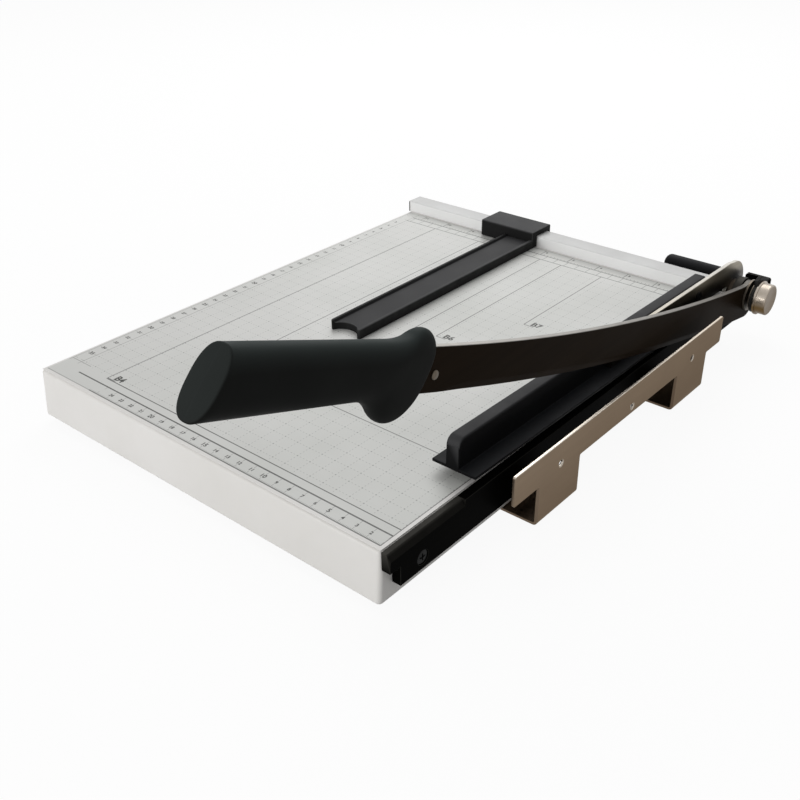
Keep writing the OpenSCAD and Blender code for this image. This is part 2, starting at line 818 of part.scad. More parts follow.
module handle_grip() {
    past = 14;
    color("black") on_arm() difference() {
        on_handle() difference() {
            union() {
                hull() {
                    handle_slice(lower_guard_at, handle_w - 2, neck_h);
                    handle_slice(handle_l + past, handle_w, handle_h);
                }
                hull() {
                    finger_disc(lower_guard_at, lower_guard_r - lower_guard_drop, lower_guard_r);
                    finger_disc(upper_guard_at, upper_guard_rise - upper_guard_r, upper_guard_r);
                }
            }
            translate([0, -handle_l, -handle_h / 2]) rotate([-end_slant, 0, 0])
                block([-handle_w, -3 * past, -handle_h], [handle_w, 0, 3 * handle_h]);
        }
        along_x(arm_x0 - hole_gap, arm_x1 + hole_gap) {
            blade_outline(hole_gap);
            tang_outline(hole_gap);
        }
        tang_pin_rods(pin_d + 2 * hole_gap, handle_w - 2 * pin_cover + 2 * hole_gap);
        tray_relief();
    }
}

// Room in the handle for the tray's front edge when the arm is closed
module tray_relief() {
    rotate([closed_tilt, 0, 0]) translate([0, -pivot_y, -pivot_z])
        block([-handle_w, base_front - handle_clear, -2 * wall_h], [arm_x0, 0, handle_clear]);
}

module tang_pin_rods(d, length) {
    on_handle() for (i = [0, 1]) rod_x(-length / 2, length / 2, d, -pin_at - i * pin_pitch);
}

module tang_pins() {
    color("silver") on_arm() tang_pin_rods(pin_d, handle_w - 2 * pin_cover);
}

module handle_rivet_rod(d, length) {
    rod_x(-length / 2, length / 2, d, rivet_back, -handle_rise - 3);
}

module handle_rivet() {
    color("silver") on_arm() on_handle() {
        handle_rivet_rod(rivet_d, arm_t + 2 * eps);
        translate([arm_t / 2 + rivet_head_h / 2, 0, 0]) handle_rivet_rod(rivet_d * head_ratio, rivet_head_h);
    }
}

// Press body

// Web outline with a round front corner
module web_outline() {
    area([press_y0, flange_t - eps], [press_y1, press_h - web_r]);
    area([press_y0 + web_r, press_h - web_r - eps], [press_y1, press_h]);
    translate([press_y0 + web_r, press_h - web_r]) circle(web_r);
}

module press_bar() {
    color("black") on_press() difference() {
        union() {
            block([flange_x1 - press_w, press_y0, 0], [flange_x1, press_y1, flange_t]);
            along_x(web_x0, lever_x0) web_outline();
        }
        for (y = lever_rivet_ys) rod_x(web_x0 - 1, lever_x0 + 1, rivet_hole_d, y, lever_rivet_z);
    }
}

module press_lever() {
    color("silver") on_press() difference() {
        along_x(lever_x0, lever_x1) difference() {
            union() {
                polygon([
                    [lever_front, flange_t], [head_top[0], flange_t], head_top,
                    [head_top[0] - lever_ease, lever_high], [lever_front, lever_high]
                ]);
                translate([pivot_y, pivot_z]) circle(hub_r);
                intersection() {
                    translate(head_top - [0, head_r]) circle(head_r);
                    area([head_front, 1], [pivot_y + 2 * head_r, lever_high]);
                }
            }
            translate([pivot_y, pivot_z]) circle(d = bolt_d + 2 * run_gap);
            translate([rod_y, rod_z]) circle(d = rod_d + 2 * hole_gap);
        }
        for (y = lever_rivet_ys) rod_x(lever_x0 - 1, lever_x1 + 1, rivet_hole_d, y, lever_rivet_z);
    }
}

module lever_rivets() {
    color("silver") on_press() for (y = lever_rivet_ys) {
        rod_x(web_x0 - rivet_head_h, web_x0, rivet_d * head_ratio, y, lever_rivet_z);
        rod_x(web_x0 - eps, lever_x1 + eps, rivet_d, y, lever_rivet_z);
        rod_x(lever_x1, lever_x1 + rivet_head_h, rivet_d * head_ratio, y, lever_rivet_z);
    }
}

module press_rod() {
    color("silver") on_press() translate([0, rod_y, rod_z]) {
        rod_x(sleeve_x0 + sleeve_edge, lever_x1 + eps, rod_d);
        rod_x(lever_x1, lever_x1 + rivet_head_h, rod_d + 2);
    }
}

module press_sleeve() {
    color("black") on_press() translate([0, rod_y, rod_z]) difference() {
        union() {
            rod_x(sleeve_x0 + sleeve_edge, sleeve_x1, sleeve_d);
            translate([sleeve_x0, 0, 0]) rotate([0, 90, 0])
                cylinder(h = sleeve_edge + eps, d1 = sleeve_d - 2 * sleeve_edge, d2 = sleeve_d);
        }
        rod_x(sleeve_x0 + sleeve_edge - hole_gap, sleeve_x1 + 1, rod_d + 2 * hole_gap);
    }
}

// Gauge body

module gauge_block() {
    x0 = gauge_x1 - block_w;
    rear = fence_back + block_rear;
    high = fence_h + block_top;
    tongue_x = [gauge_mid - tongue_w / 2, gauge_mid + tongue_w / 2];
    color("black") placed() difference() {
        union() {
            along_x(x0, gauge_x1) {
                area([-block_front, slide_gap], [-slide_gap, high]);
                area([-block_front, fence_h + slide_gap], [rear, high]);
                area([fence_back + slide_gap, -block_hook], [rear, high]);
            }
            block([tongue_x[0], gauge_y1 - tongue_l, slide_gap], [tongue_x[1], gauge_y1 + eps, tongue_top]);
        }
        block([x0 + (block_w - pad_w) / 2 - hole_gap, fence_back, pad_z[0] - hole_gap],
            [x0 + (block_w + pad_w) / 2 + hole_gap, pad_y0 + pad_t, pad_z[1] + hole_gap]);
        for (y = gauge_screw_ys) {
            rod_z(0, tongue_top + 1, bracket_hole_d, gauge_mid, y);
            rod_z(0, gauge_seat_z, bracket_screw_d * head_ratio + 2 * hole_gap, gauge_mid, y);
        }
    }
}

module gauge_bar() {
    color("dimgray") placed() difference() {
        block([gauge_x0, gauge_y0, slide_gap], [gauge_x1, gauge_y1, gauge_h]);
        block([gauge_x0 + rim_w, gauge_y0 - 1, channel_z], [gauge_x1 - rim_w, 1, gauge_h + 1]);
        rod_z(0, gauge_h + 1, 2 * scoop_r, gauge_mid, gauge_y0 + scoop_d - scoop_r);
        block([gauge_mid - tongue_w / 2 - hole_gap, gauge_y1 - tongue_l - hole_gap, 0],
            [gauge_mid + tongue_w / 2 + hole_gap, 1, tongue_top]);
        for (y = gauge_screw_ys) rod_z(0, gauge_screw_end + hole_gap, bracket_hole_d, gauge_mid, y);
    }
}

module gauge_screws() {
    color("silver") placed() for (y = gauge_screw_ys) {
        rod_z(gauge_head_z, gauge_seat_z, bracket_screw_d * head_ratio, gauge_mid, y);
        rod_z(gauge_seat_z - eps, gauge_screw_end, bracket_screw_d, gauge_mid, y);
    }
}

module gauge_pad() {
    x = gauge_x1 - block_w / 2;
    color("darkolivegreen") placed()
        block([x - pad_w / 2, pad_y0, pad_z[0]], [x + pad_w / 2, pad_y0 + pad_t, pad_z[1]]);
}

base_shell();
print_sheet();
rear_fence();
fence_rivets();
knife_bar();
knife_screws();
knife_nuts();
guard();
guard_screws();
guard_nuts();
rubber_feet();
foot_screws();
foot_nuts();
pivot_bracket();
bracket_screws();
pivot_bolt();
thrust_washer();
disc_spring();
spacer_bush();
pivot_nut();
blade_arm();
arm_bush();
handle_grip();
tang_pins();
handle_rivet();
press_bar();
press_lever();
lever_rivets();
press_rod();
press_sleeve();
gauge_block();
gauge_bar();
gauge_screws();
gauge_pad();
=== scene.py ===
import json
import math

import bpy
import numpy as np
from mathutils import Matrix, Vector
from mathutils.geometry import delaunay_2d_cdt


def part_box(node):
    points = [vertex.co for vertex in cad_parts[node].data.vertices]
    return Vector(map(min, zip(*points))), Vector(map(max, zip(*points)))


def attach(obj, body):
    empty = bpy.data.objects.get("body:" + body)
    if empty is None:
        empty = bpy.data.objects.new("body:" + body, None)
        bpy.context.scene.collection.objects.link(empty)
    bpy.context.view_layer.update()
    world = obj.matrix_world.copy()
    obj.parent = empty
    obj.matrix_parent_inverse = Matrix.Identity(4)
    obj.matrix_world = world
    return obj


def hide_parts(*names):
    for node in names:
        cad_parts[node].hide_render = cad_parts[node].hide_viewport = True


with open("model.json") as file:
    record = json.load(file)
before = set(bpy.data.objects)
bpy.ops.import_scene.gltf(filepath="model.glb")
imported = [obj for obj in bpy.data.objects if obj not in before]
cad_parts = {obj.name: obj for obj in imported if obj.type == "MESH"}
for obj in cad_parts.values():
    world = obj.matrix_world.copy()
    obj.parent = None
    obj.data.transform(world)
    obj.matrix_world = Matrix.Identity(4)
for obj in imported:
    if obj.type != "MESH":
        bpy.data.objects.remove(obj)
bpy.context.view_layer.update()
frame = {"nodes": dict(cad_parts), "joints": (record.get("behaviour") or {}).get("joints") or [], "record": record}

# Lengths are in millimetres from the home corner: cutting plane, fence face and table top.
mm = 0.001
home = np.array([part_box("knife_bar")[1].x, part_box("rear_fence")[0].y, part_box("print_sheet")[1].z])
joints = {joint["name"]: joint for joint in frame["joints"]}
pivot = (np.array(joints["arm_hinge"]["pos_m"]) - home) / mm
sharpAngle = math.radians(38)
white = (1.0, 1.0, 1.0, 1.0)


def span(name):
    # lowest and highest corner of a frame node, in millimetres from home
    low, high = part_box(name)
    return (np.array(low) - home) / mm, (np.array(high) - home) / mm


def worldPoint(place):
    # a place in millimetres from home as a point of the frame, in metres
    return Vector((home + np.array(place, float) * mm).tolist())


def placed(name, data):
    made = bpy.data.objects.new(name, data)
    bpy.context.scene.collection.objects.link(made)
    return made


# Shapes: each is (points, blocks of faces, wear and light). It is above 0 on edges that hands and paper polish
# and where highlights and reflections are painted, and below 0 where the painted top light is kept off.

def gridFaces(rows, columns):
    # quads between neighbouring rows of a grid whose columns close on themselves
    row = np.arange(rows - 1)[:, None] * columns
    column = np.arange(columns)
    following = (column + 1) % columns
    corners = [row + column, row + following, row + columns + following, row + columns + column]
    return np.stack(corners, -1).reshape(-1, 4)


def loft(rings, wearAndLight=None):
    # a surface strung through closed rings (rows), with a flat face over the first and the last one
    rows, columns = rings.shape[:2]
    faces = [gridFaces(rows, columns)]
    faces.append(np.arange(columns)[::-1][None])
    faces.append((rows - 1) * columns + np.arange(columns)[None])
    wornAndLit = np.zeros(rows) if wearAndLight is None else np.asarray(wearAndLight, float)
    return rings.reshape(-1, 3), faces, np.repeat(wornAndLit, columns)


def join(*shapes):
    # several shapes as one: points stacked and faces renumbered
    starts = np.cumsum([0] + [len(shape[0]) for shape in shapes[:-1]])
    faces = [block + start for start, shape in zip(starts, shapes) for block in shape[1]]
    return np.concatenate([s[0] for s in shapes]), faces, np.concatenate([s[2] for s in shapes])


def moved(shape, offset):
    return shape[0] + np.asarray(offset, float), shape[1], shape[2]


def lifted(points, degrees):
    # turns flat-drawn points up about the bolt's axis
    angle = math.radians(degrees)
    y, z = points[:, 1] - pivot[1], points[:, 2] - pivot[2]
    turnedY = pivot[1] + y * math.cos(angle) + z * math.sin(angle)
    turnedZ = pivot[2] - y * math.sin(angle) + z * math.cos(angle)
    return np.stack([points[:, 0], turnedY, turnedZ], 1)


def swung(shape, degrees):
    return lifted(shape[0], degrees), shape[1], shape[2]


def rounded(corners, radii, steps=5, closed=True):
    # each corner becomes an arc that touches both its sides; its centre lies on the corner's bisector
    corners = np.asarray(corners, float)
    radii = np.broadcast_to(np.asarray(radii, float), len(corners))
    before = np.roll(corners, 1, 0) - corners
    after = np.roll(corners, -1, 0) - corners
    before /= np.linalg.norm(before, axis=1, keepdims=True)
    after /= np.linalg.norm(after, axis=1, keepdims=True)
    half = np.arccos(np.clip((before * after).sum(1), -1, 1)) / 2
    bisector = before + after
    bisector /= np.linalg.norm(bisector, axis=1, keepdims=True) + 1e-9
    centre = corners + bisector * (radii / np.sin(half))[:, None]
    reach = (radii / np.tan(half))[:, None]
    start = corners + before * reach - centre
    end = corners + after * reach - centre
    first = np.arctan2(start[:, 1], start[:, 0])
    turn = np.arctan2(end[:, 1], end[:, 0]) - first
    turn = (turn + math.pi) % (2 * math.pi) - math.pi
    angle = first[:, None] + turn[:, None] * np.linspace(0, 1, steps)
    arcs = centre[:, None] + radii[:, None, None] * np.stack([np.cos(angle), np.sin(angle)], -1)
    if closed:
        return arcs.reshape(-1, 2)
    return np.concatenate([corners[:1], arcs[1:-1].reshape(-1, 2), corners[-1:]])


def arc(centre, radius, start, end, count):
    angle = np.radians(np.linspace(start, end, count))
    return np.asarray(centre, float) + radius * np.stack([np.cos(angle), np.sin(angle)], 1)


def roundHole(centre, radius, sides):
    # a hole's rim, which runs backwards so that the material lies on its left
    return arc(centre, radius, 360, 360 / (sides + 1), sides)


def inwardOf(loop):
    # mitre direction at each point of a loop with its material on the left
    ahead = np.roll(loop, -1, 0) - loop
    ahead /= np.linalg.norm(ahead, axis=1, keepdims=True)
    left = np.stack([-ahead[:, 1], ahead[:, 0]], 1)
    before = np.roll(left, 1, 0)
    return (before + left) / (1 + (before * left).sum(1, keepdims=True))


def inside(points, loop):
    # even-odd rule: how many sides of the loop a ray to the right crosses
    x, y = points[:, :1], points[:, 1:]
    ax, ay = loop[:, 0], loop[:, 1]
    bx, by = np.roll(ax, -1), np.roll(ay, -1)
    slope = (bx - ax) / np.where(by == ay, 1e-12, by - ay)
    crossed = ((ay > y) != (by > y)) & (x < slope * (y - ay) + ax)
    return crossed.sum(1) % 2 == 1


def faceTriangles(loops, cross):
    # triangles that fill the first loop and leave the others open; cross pairs are kept as edges
    sizes = [len(loop) for loop in loops]
    starts = np.cumsum([0] + sizes[:-1])
    around = [np.stack([np.arange(n), (np.arange(n) + 1) % n], 1) + s for n, s in zip(sizes, starts)]
    edges = np.concatenate(around + [np.asarray(cross, int).reshape(-1, 2)])
    flat = np.concatenate(loops)
    made = delaunay_2d_cdt([Vector(p) for p in flat.tolist()], edges.tolist(), [], 0, 1e-6)
    source = np.array([origin[0] for origin in made[3]])
    triangles = source[np.array(made[2])]
    middle = flat[triangles].mean(1)
    kept = inside(middle, loops[0])
    for hole in loops[1:]:
        kept &= ~inside(middle, hole)
    triangles = triangles[kept]
    a, b, c = (flat[triangles[:, i]] for i in range(3))
    area = (b[:, 0] - a[:, 0]) * (c[:, 1] - a[:, 1]) - (b[:, 1] - a[:, 1]) * (c[:, 0] - a[:, 0])
    return np.where((area < 0)[:, None], triangles[:, ::-1], triangles)


def plate(outline, depth, edge, holes=(), cross=(), ground=None, inward=None, holeEdge=None, wallRub=True,
          steps=3, lip=0.15):
    # An outline carried through its depth. Ring a is drawn in by e(1 - cos a) and stands e(1 - sin a)
    # short of the face, so both rims are rounded; ground gives (width, fall, flatness) of the front rim.
    share = np.linspace(0, 1, steps + 1)[:, None]
    arcIn, arcDown = 1 - np.cos(share * math.pi / 2), 1 - np.sin(share * math.pi / 2)
    wornAndLit = np.cos(share[:, 0] * math.pi / 2) if wallRub else np.sin(share[:, 0] * math.pi)
    ringRub = np.concatenate([[0], wornAndLit[::-1], wornAndLit[:1], wornAndLit[:1], wornAndLit, [0]])
    points, faces, wearAndLight, rims, starts, first = [], [], [], [], [], 0
    for loop in [outline, *holes]:
        rim = edge if loop is outline or holeEdge is None else holeEdge
        even = np.full(len(loop), float(rim))
        plain = ground is None or loop is not outline
        lean = inwardOf(loop) if inward is None or loop is not outline else inward
        width, fall, flat = (even, even, 0 * even) if plain else ground
        frontIn = width * (arcIn + flat * (share - arcIn))
        frontDown = fall * (arcDown + flat * (1 - share - arcDown))
        backIn, backDown = even * arcIn, even * arcDown
        none = 0 * backIn[:1]
        inset = np.concatenate([backIn[-1:] + lip, backIn[::-1], none, none, frontIn, frontIn[-1:] + lip])
        rise = np.concatenate([none, backDown[::-1], backDown[:1] + lip,
                               depth - frontDown[:1] - lip, depth - frontDown, none + depth])
        ring = loop + inset[..., None] * lean
        points.append(np.concatenate([ring, rise[..., None]], -1).reshape(-1, 3))
        wearAndLight.append(np.repeat(ringRub, len(loop)))
        faces.append(gridFaces(len(rise), len(loop)) + first)
        rims.append(ring[-1])
        starts.append(first + np.arange(len(loop)))
        first += rise.size
    triangles = faceTriangles(rims, cross)
    backIndex = np.concatenate(starts)
    lastRing = np.concatenate([np.full(len(s), (len(ringRub) - 1) * len(s)) for s in starts])
    faces.append((backIndex + lastRing)[triangles])
    faces.append(backIndex[triangles][:, ::-1])
    return np.concatenate(points), faces, np.concatenate(wearAndLight)


def acrossX(shape, x):
    # outline in y and z, depth along x
    a, b, h = shape[0].T
    return np.stack([x + h, a, b], 1), shape[1], shape[2]


def acrossY(shape, y):
    # outline in z and x, depth along y
    a, b, h = shape[0].T
    return np.stack([b, y + h, a], 1), shape[1], shape[2]


def turned(profile, centre, axis="x", sides=48, wearAndLight=None):
    # a profile of (distance along the axis, radius) spun once round the axis
    profile = np.asarray(profile, float)
    angle = np.linspace(0, 2 * math.pi, sides, endpoint=False)
    along = np.repeat(profile[:, :1], sides, 1)
    across, up = profile[:, 1:] * np.cos(angle), profile[:, 1:] * np.sin(angle)
    order = [along, across, up] if axis == "x" else [across, up, along]
    return moved(loft(np.stack(order, -1), wearAndLight), centre)


def addPiece(name, shape, body, slotName, finish, *replaced):
    points, faces, wearAndLight = shape
    mesh = bpy.data.meshes.new(name)
    polygons = [face for block in faces for face in block.tolist()]
    mesh.from_pydata((home + points * mm).tolist(), [], polygons)
    mesh.polygons.foreach_set("use_smooth", np.ones(len(polygons), bool))
    mesh.set_sharp_from_angle(angle=sharpAngle)
    mesh.attributes.new("wearAndLight", "FLOAT", "POINT").data.foreach_set("value", wearAndLight.astype(np.float32))
    mesh.materials.append(finish)
    mesh.update()
    piece = placed(name, mesh)
    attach(piece, body)
    if replaced:
        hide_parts(*replaced)


# Shader helpers

def tone(red, green, blue):
    # a screen colour of 0 to 255 as linear light
    share = np.array([red, green, blue]) / 255
    linear = np.where(share <= 0.04045, share / 12.92, ((share + 0.055) / 1.055) ** 2.4)
    return (*linear.tolist(), 1.0)


def put(tree, kind, inputs=None, **settings):
    made = tree.nodes.new("ShaderNode" + kind)
    for key, value in settings.items():
        setattr(made, key, value)
    for key, value in (inputs or {}).items():
        if isinstance(value, bpy.types.NodeSocket):
            tree.links.new(value, made.inputs[key])
        else:
            made.inputs[key].default_value = value
    return made


def maths(tree, operation, *values):
    return put(tree, "Math", dict(enumerate(values)), operation=operation).outputs[0]


def remap(tree, value, low, high, toLow, toHigh):
    names = ("From Min", "From Max", "To Min", "To Max")
    inputs = dict(zip(names, (low, high, toLow, toHigh)), Value=value)
    return put(tree, "MapRange", inputs).outputs["Result"]


def mixed(tree, share, first, second):
    return put(tree, "Mix", {0: share, 6: first, 7: second}, data_type="RGBA").outputs[2]


def ownPlace(tree):
    return put(tree, "TexCoord").outputs["Object"]


def fromHome(tree):
    # the surface's own place as a vector from home, in metres
    return put(tree, "VectorMath", {0: ownPlace(tree), 1: home.tolist()}, operation="SUBTRACT").outputs[0]


def noise(tree, place, scale, detail):
    return put(tree, "TexNoise", {"Vector": place, "Scale": scale, "Detail": detail}).outputs[0]


def newGroup(name, outputs, **inputs):
    tree = bpy.data.node_groups.new(name, "ShaderNodeTree")
    for label, value in inputs.items():
        kind = "NodeSocketVector" if isinstance(value, tuple) else "NodeSocketFloat"
        tree.interface.new_socket(label, in_out="INPUT", socket_type=kind).default_value = value
    for label in outputs:
        tree.interface.new_socket(label, in_out="OUTPUT", socket_type="NodeSocketFloat")
    return tree, tree.nodes.new("NodeGroupInput").outputs, tree.nodes.new("NodeGroupOutput").inputs


def useGroup(tree, group, **inputs):
    return put(tree, "Group", inputs, node_tree=group).outputs


# most of the noise's values lie between these two
noiseLow, noiseHigh = 0.3, 0.7


def makeGrain():
    # moulded or sprayed skin: fine bumps, and slow patches of light and dark
    tree, given, out = newGroup("skinGrain", ["Height", "Patch"], Fine=900.0, Slow=20.0)
    place = ownPlace(tree)
    tree.links.new(noise(tree, place, given["Fine"], 2.0), out["Height"])
    tree.links.new(noise(tree, place, given["Slow"], 3.0), out["Patch"])
    return tree


def makeEdgeRub():
    # wear and painted highlight mask: the piece's attribute of wear and light, broken up by noise
    tree, given, out = newGroup("edgeWearAndLight", ["Mask"], Scale=160.0, Amount=0.6, Gaps=0.25)
    broken = remap(tree, noise(tree, ownPlace(tree), given["Scale"], 4.0), 0.32, 0.62, given["Gaps"], 1.0)
    wearAndLight = put(tree, "Attribute", attribute_name="wearAndLight").outputs["Fac"]
    amount = maths(tree, "MULTIPLY", maths(tree, "MULTIPLY", wearAndLight, broken), given["Amount"])
    tree.links.new(amount, out["Mask"])
    return tree


def makeTopDust():
    # painted light from above: 0 on a wall, 1 on a level top, thinned by slow noise, and kept off where the
    # attribute of wear and light is below 0
    tree, given, out = newGroup("paintedTopLight", ["Mask"], Scale=40.0)
    up = put(tree, "SeparateXYZ", {0: put(tree, "TexCoord").outputs["Normal"]}).outputs[2]
    level = remap(tree, up, 0.1, 0.95, 0.0, 1.0)
    thinned = remap(tree, noise(tree, ownPlace(tree), given["Scale"], 3.0), noiseLow, noiseHigh, 0.85, 1.0)
    wearAndLight = put(tree, "Attribute", attribute_name="wearAndLight").outputs["Fac"]
    thinned = maths(tree, "MULTIPLY", thinned, remap(tree, wearAndLight, -1.0, 0.0, 0.0, 1.0))
    tree.links.new(maths(tree, "MULTIPLY", level, thinned), out["Mask"])
    return tree


def makeBrushing():
    # rolled or ground metal: noise drawn out along one direction by the stretch
    tree, given, out = newGroup("brushLines", ["Height", "Streak"], Stretch=(1, 1, 1), Scale=400.0)
    drawn = put(tree, "VectorMath", {0: ownPlace(tree), 1: given["Stretch"]}, operation="MULTIPLY").outputs[0]
    lines = noise(tree, drawn, given["Scale"], 5.0)
    tree.links.new(lines, out["Height"])
    tree.links.new(remap(tree, lines, noiseLow, noiseHigh, 0.0, 1.0), out["Streak"])
    return tree


def makeHandling():
    # faint handling marks: cloudy roughness between a low and a high value
    tree, given, out = newGroup("handMarks", ["Roughness"], Scale=30.0, Low=0.3, High=0.5)
    cloud = noise(tree, ownPlace(tree), given["Scale"], 5.0)
    rough = remap(tree, cloud, noiseLow, noiseHigh, given["Low"], given["High"])
    tree.links.new(rough, out["Roughness"])
    return tree


skinGrain = makeGrain()
edgeWearAndLight = makeEdgeRub()
paintedTopLight = makeTopDust()
brushLines = makeBrushing()
handMarks = makeHandling()


def newFinish(name, **sockets):
    material = bpy.data.materials.new(name)
    material.use_nodes = True
    tree = material.node_tree
    shader = tree.nodes["Principled BSDF"]
    for key, value in sockets.items():
        shader.inputs[key.replace("_", " ")].default_value = value
    return material, tree, shader


def setBump(tree, shader, height, strength, distance):
    bump = put(tree, "Bump", {"Height": height, "Strength": strength, "Distance": distance * mm})
    tree.links.new(bump.outputs[0], shader.inputs["Normal"])


def setPolish(tree, shader, look):
    # cloudy roughness between the two ends of the look's gloss
    low, high = look["gloss"]
    marks = useGroup(tree, handMarks, Scale=look["marks"], Low=low, High=high)
    tree.links.new(marks["Roughness"], shader.inputs["Roughness"])


def setWorn(tree, shader, body, look):
    # the worn colour, which on some pieces is a painted highlight, over the body's where the mask says; the mask
    # is given back
    gaps = look.get("gaps", 0.25)
    mask = useGroup(tree, edgeWearAndLight, Scale=look["wearScale"], Amount=look["wornAndLitShare"], Gaps=gaps)["Mask"]
    tree.links.new(mixed(tree, mask, body, look["wornAndLit"]), shader.inputs["Base Color"])
    return mask


def patchy(tree, look):
    # skin bumps, and a colour that drifts to its shade in slow patches
    grain = useGroup(tree, skinGrain, Fine=look["fine"], Slow=look["slow"])
    patch = remap(tree, grain["Patch"], 0.35, 0.65, 0.0, 1.0)
    return grain["Height"], mixed(tree, patch, look["colour"], look["shade"])


def streaked(tree, look):
    # brushed lines, and a colour streaked with its shade along them
    lines = useGroup(tree, brushLines, Stretch=look["stretch"], Scale=look["lines"])
    return lines["Height"], mixed(tree, lines["Streak"], look["colour"], look["shade"])


def dusted(tree, body, look):
    # painted light: the body turns to the look's top tone on level tops
    return mixed(tree, useGroup(tree, paintedTopLight, Scale=look["marks"])["Mask"], body, look["topLightTone"])


def coated(name, look):
    # paint, plastic or rubber: patchy colour, painted light on level tops where the look gives a top tone, skin
    # bumps, and a rubbed colour on worn edges, which on some pieces is a painted highlight
    material, tree, shader = newFinish(name, Specular_IOR_Level=look["shine"])
    height, body = patchy(tree, look)
    if "topLightTone" in look:
        body = dusted(tree, body, look)
    setWorn(tree, shader, body, look)
    setPolish(tree, shader, look)
    setBump(tree, shader, height, look["bump"], look["bumpDepth"])
    return material


# depth of brushed lines in millimetres, and how metallic blackened steel is where it is worn bare
lineDepth = 0.02
bareShare = 0.8


def metal(name, look):
    # bare or plated metal: streaks along the rolling direction, darker towards the bottom where the look asks,
    # cloudy polish, brighter worn edges
    material, tree, shader = newFinish(name, Metallic=1.0, Specular_Tint=look.get("rake", white))
    height, body = streaked(tree, look)
    if "darkBelow" in look:
        # the darker share grows along its run, in shares for each millimetre
        run = put(tree, "VectorMath", {0: fromHome(tree), 1: look["darkBelowRun"]}, operation="DOT_PRODUCT")
        share = maths(tree, "MULTIPLY_ADD", run.outputs["Value"], 1 / mm, look["darkBelowStart"])
        body = mixed(tree, share, body, look["darkBelow"])
    setWorn(tree, shader, body, look)
    setPolish(tree, shader, look)
    setBump(tree, shader, height, look["bump"], lineDepth)
    return material


def blackened(name, look):
    # blackened steel: dark oxide with faint grinding lines, ground bright where the attribute of wear and light
    # says; on the arm's top edge this is also a painted highlight, on the knife's lead-in a painted reflection
    material, tree, shader = newFinish(name, Specular_IOR_Level=look["shine"])
    height, body = streaked(tree, look)
    mask = setWorn(tree, shader, body, look)
    tree.links.new(maths(tree, "MULTIPLY", mask, bareShare), shader.inputs["Metallic"])
    setPolish(tree, shader, look)
    setBump(tree, shader, height, look["bump"], lineDepth)
    return material


# Finishes: values that several share stand first
stovePaint = dict(shine=0.4, bump=0.10, bumpDepth=0.15)
plastic = dict(slow=30.0, marks=45.0, gloss=(0.40, 0.54), wearScale=150.0, bumpDepth=0.10)
smallMetal = dict(stretch=(1.0, 1.0, 1.0), wearScale=300.0, wornAndLitShare=0.4, bump=0.08)
turnedMetal = dict(smallMetal, lines=600.0, marks=80.0, gloss=(0.34, 0.48))
longSteel = dict(stretch=(1.0, 0.04, 1.0), lines=260.0, wearScale=90.0, wornAndLitShare=1.0)
trayPaint = coated("trayPaint", dict(
    stovePaint, colour=tone(226, 224, 221), shade=tone(220, 218, 214), wornAndLit=tone(204, 200, 194), fine=520.0,
    slow=14.0, marks=26.0, gloss=(0.38, 0.50), wearScale=120.0, wornAndLitShare=0.25))
# the fence's top tone is darker than its paint: painted shade on its top
fencePaint = coated("fencePaint", dict(
    stovePaint, colour=tone(228, 228, 227), shade=tone(223, 223, 222), wornAndLit=tone(190, 188, 184),
    topLightTone=tone(195, 195, 194), fine=560.0, slow=16.0, marks=30.0, gloss=(0.36, 0.50), wearScale=130.0,
    wornAndLitShare=0.35))
blackPaint = coated("blackPaint", dict(
    colour=tone(15, 15, 16), shade=tone(19, 18, 18), wornAndLit=tone(84, 82, 79), fine=650.0, slow=40.0,
    marks=60.0, gloss=(0.32, 0.48), shine=0.03, wearScale=260.0, wornAndLitShare=0.5, bump=0.14, bumpDepth=0.12))
# the top tone is painted light on level tops
charcoalPlastic = coated("charcoalPlastic", dict(
    plastic, colour=tone(28, 28, 28), shade=tone(25, 25, 25), wornAndLit=tone(92, 93, 92), topLightTone=tone(68, 68, 69),
    fine=1500.0, shine=0.04, wornAndLitShare=0.6, bump=0.22))
# the top tone is a painted reflection on level tops, and the worn colour is the painted highlight on the web's top
pressPlastic = coated("pressPlastic", dict(
    plastic, colour=tone(12, 12, 13), shade=tone(9, 9, 10), wornAndLit=tone(60, 60, 61), topLightTone=tone(27, 28, 30),
    fine=1500.0, shine=0.04, wornAndLitShare=0.95, gaps=0.85, bump=0.20))
# the top tone is painted light on level tops
blackPlastic = coated("blackPlastic", dict(
    plastic, colour=tone(20, 20, 21), shade=tone(16, 16, 17), wornAndLit=tone(48, 48, 50), topLightTone=tone(40, 40, 42),
    fine=1600.0, shine=0.03, wornAndLitShare=0.35, bump=0.22))
blackRubber = coated("blackRubber", dict(
    colour=tone(36, 36, 36), shade=tone(30, 30, 30), wornAndLit=tone(66, 64, 62), fine=1100.0, slow=60.0,
    marks=70.0, gloss=(0.66, 0.82), shine=0.3, wearScale=200.0, wornAndLitShare=0.4, bump=0.30, bumpDepth=0.15))
feltWool = coated("feltWool", dict(
    colour=tone(82, 90, 62), shade=tone(66, 74, 50), wornAndLit=tone(96, 104, 76), fine=2600.0, slow=300.0,
    marks=90.0, gloss=(0.88, 0.96), shine=0.2, wearScale=300.0, wornAndLitShare=0.3, bump=0.8, bumpDepth=0.4))
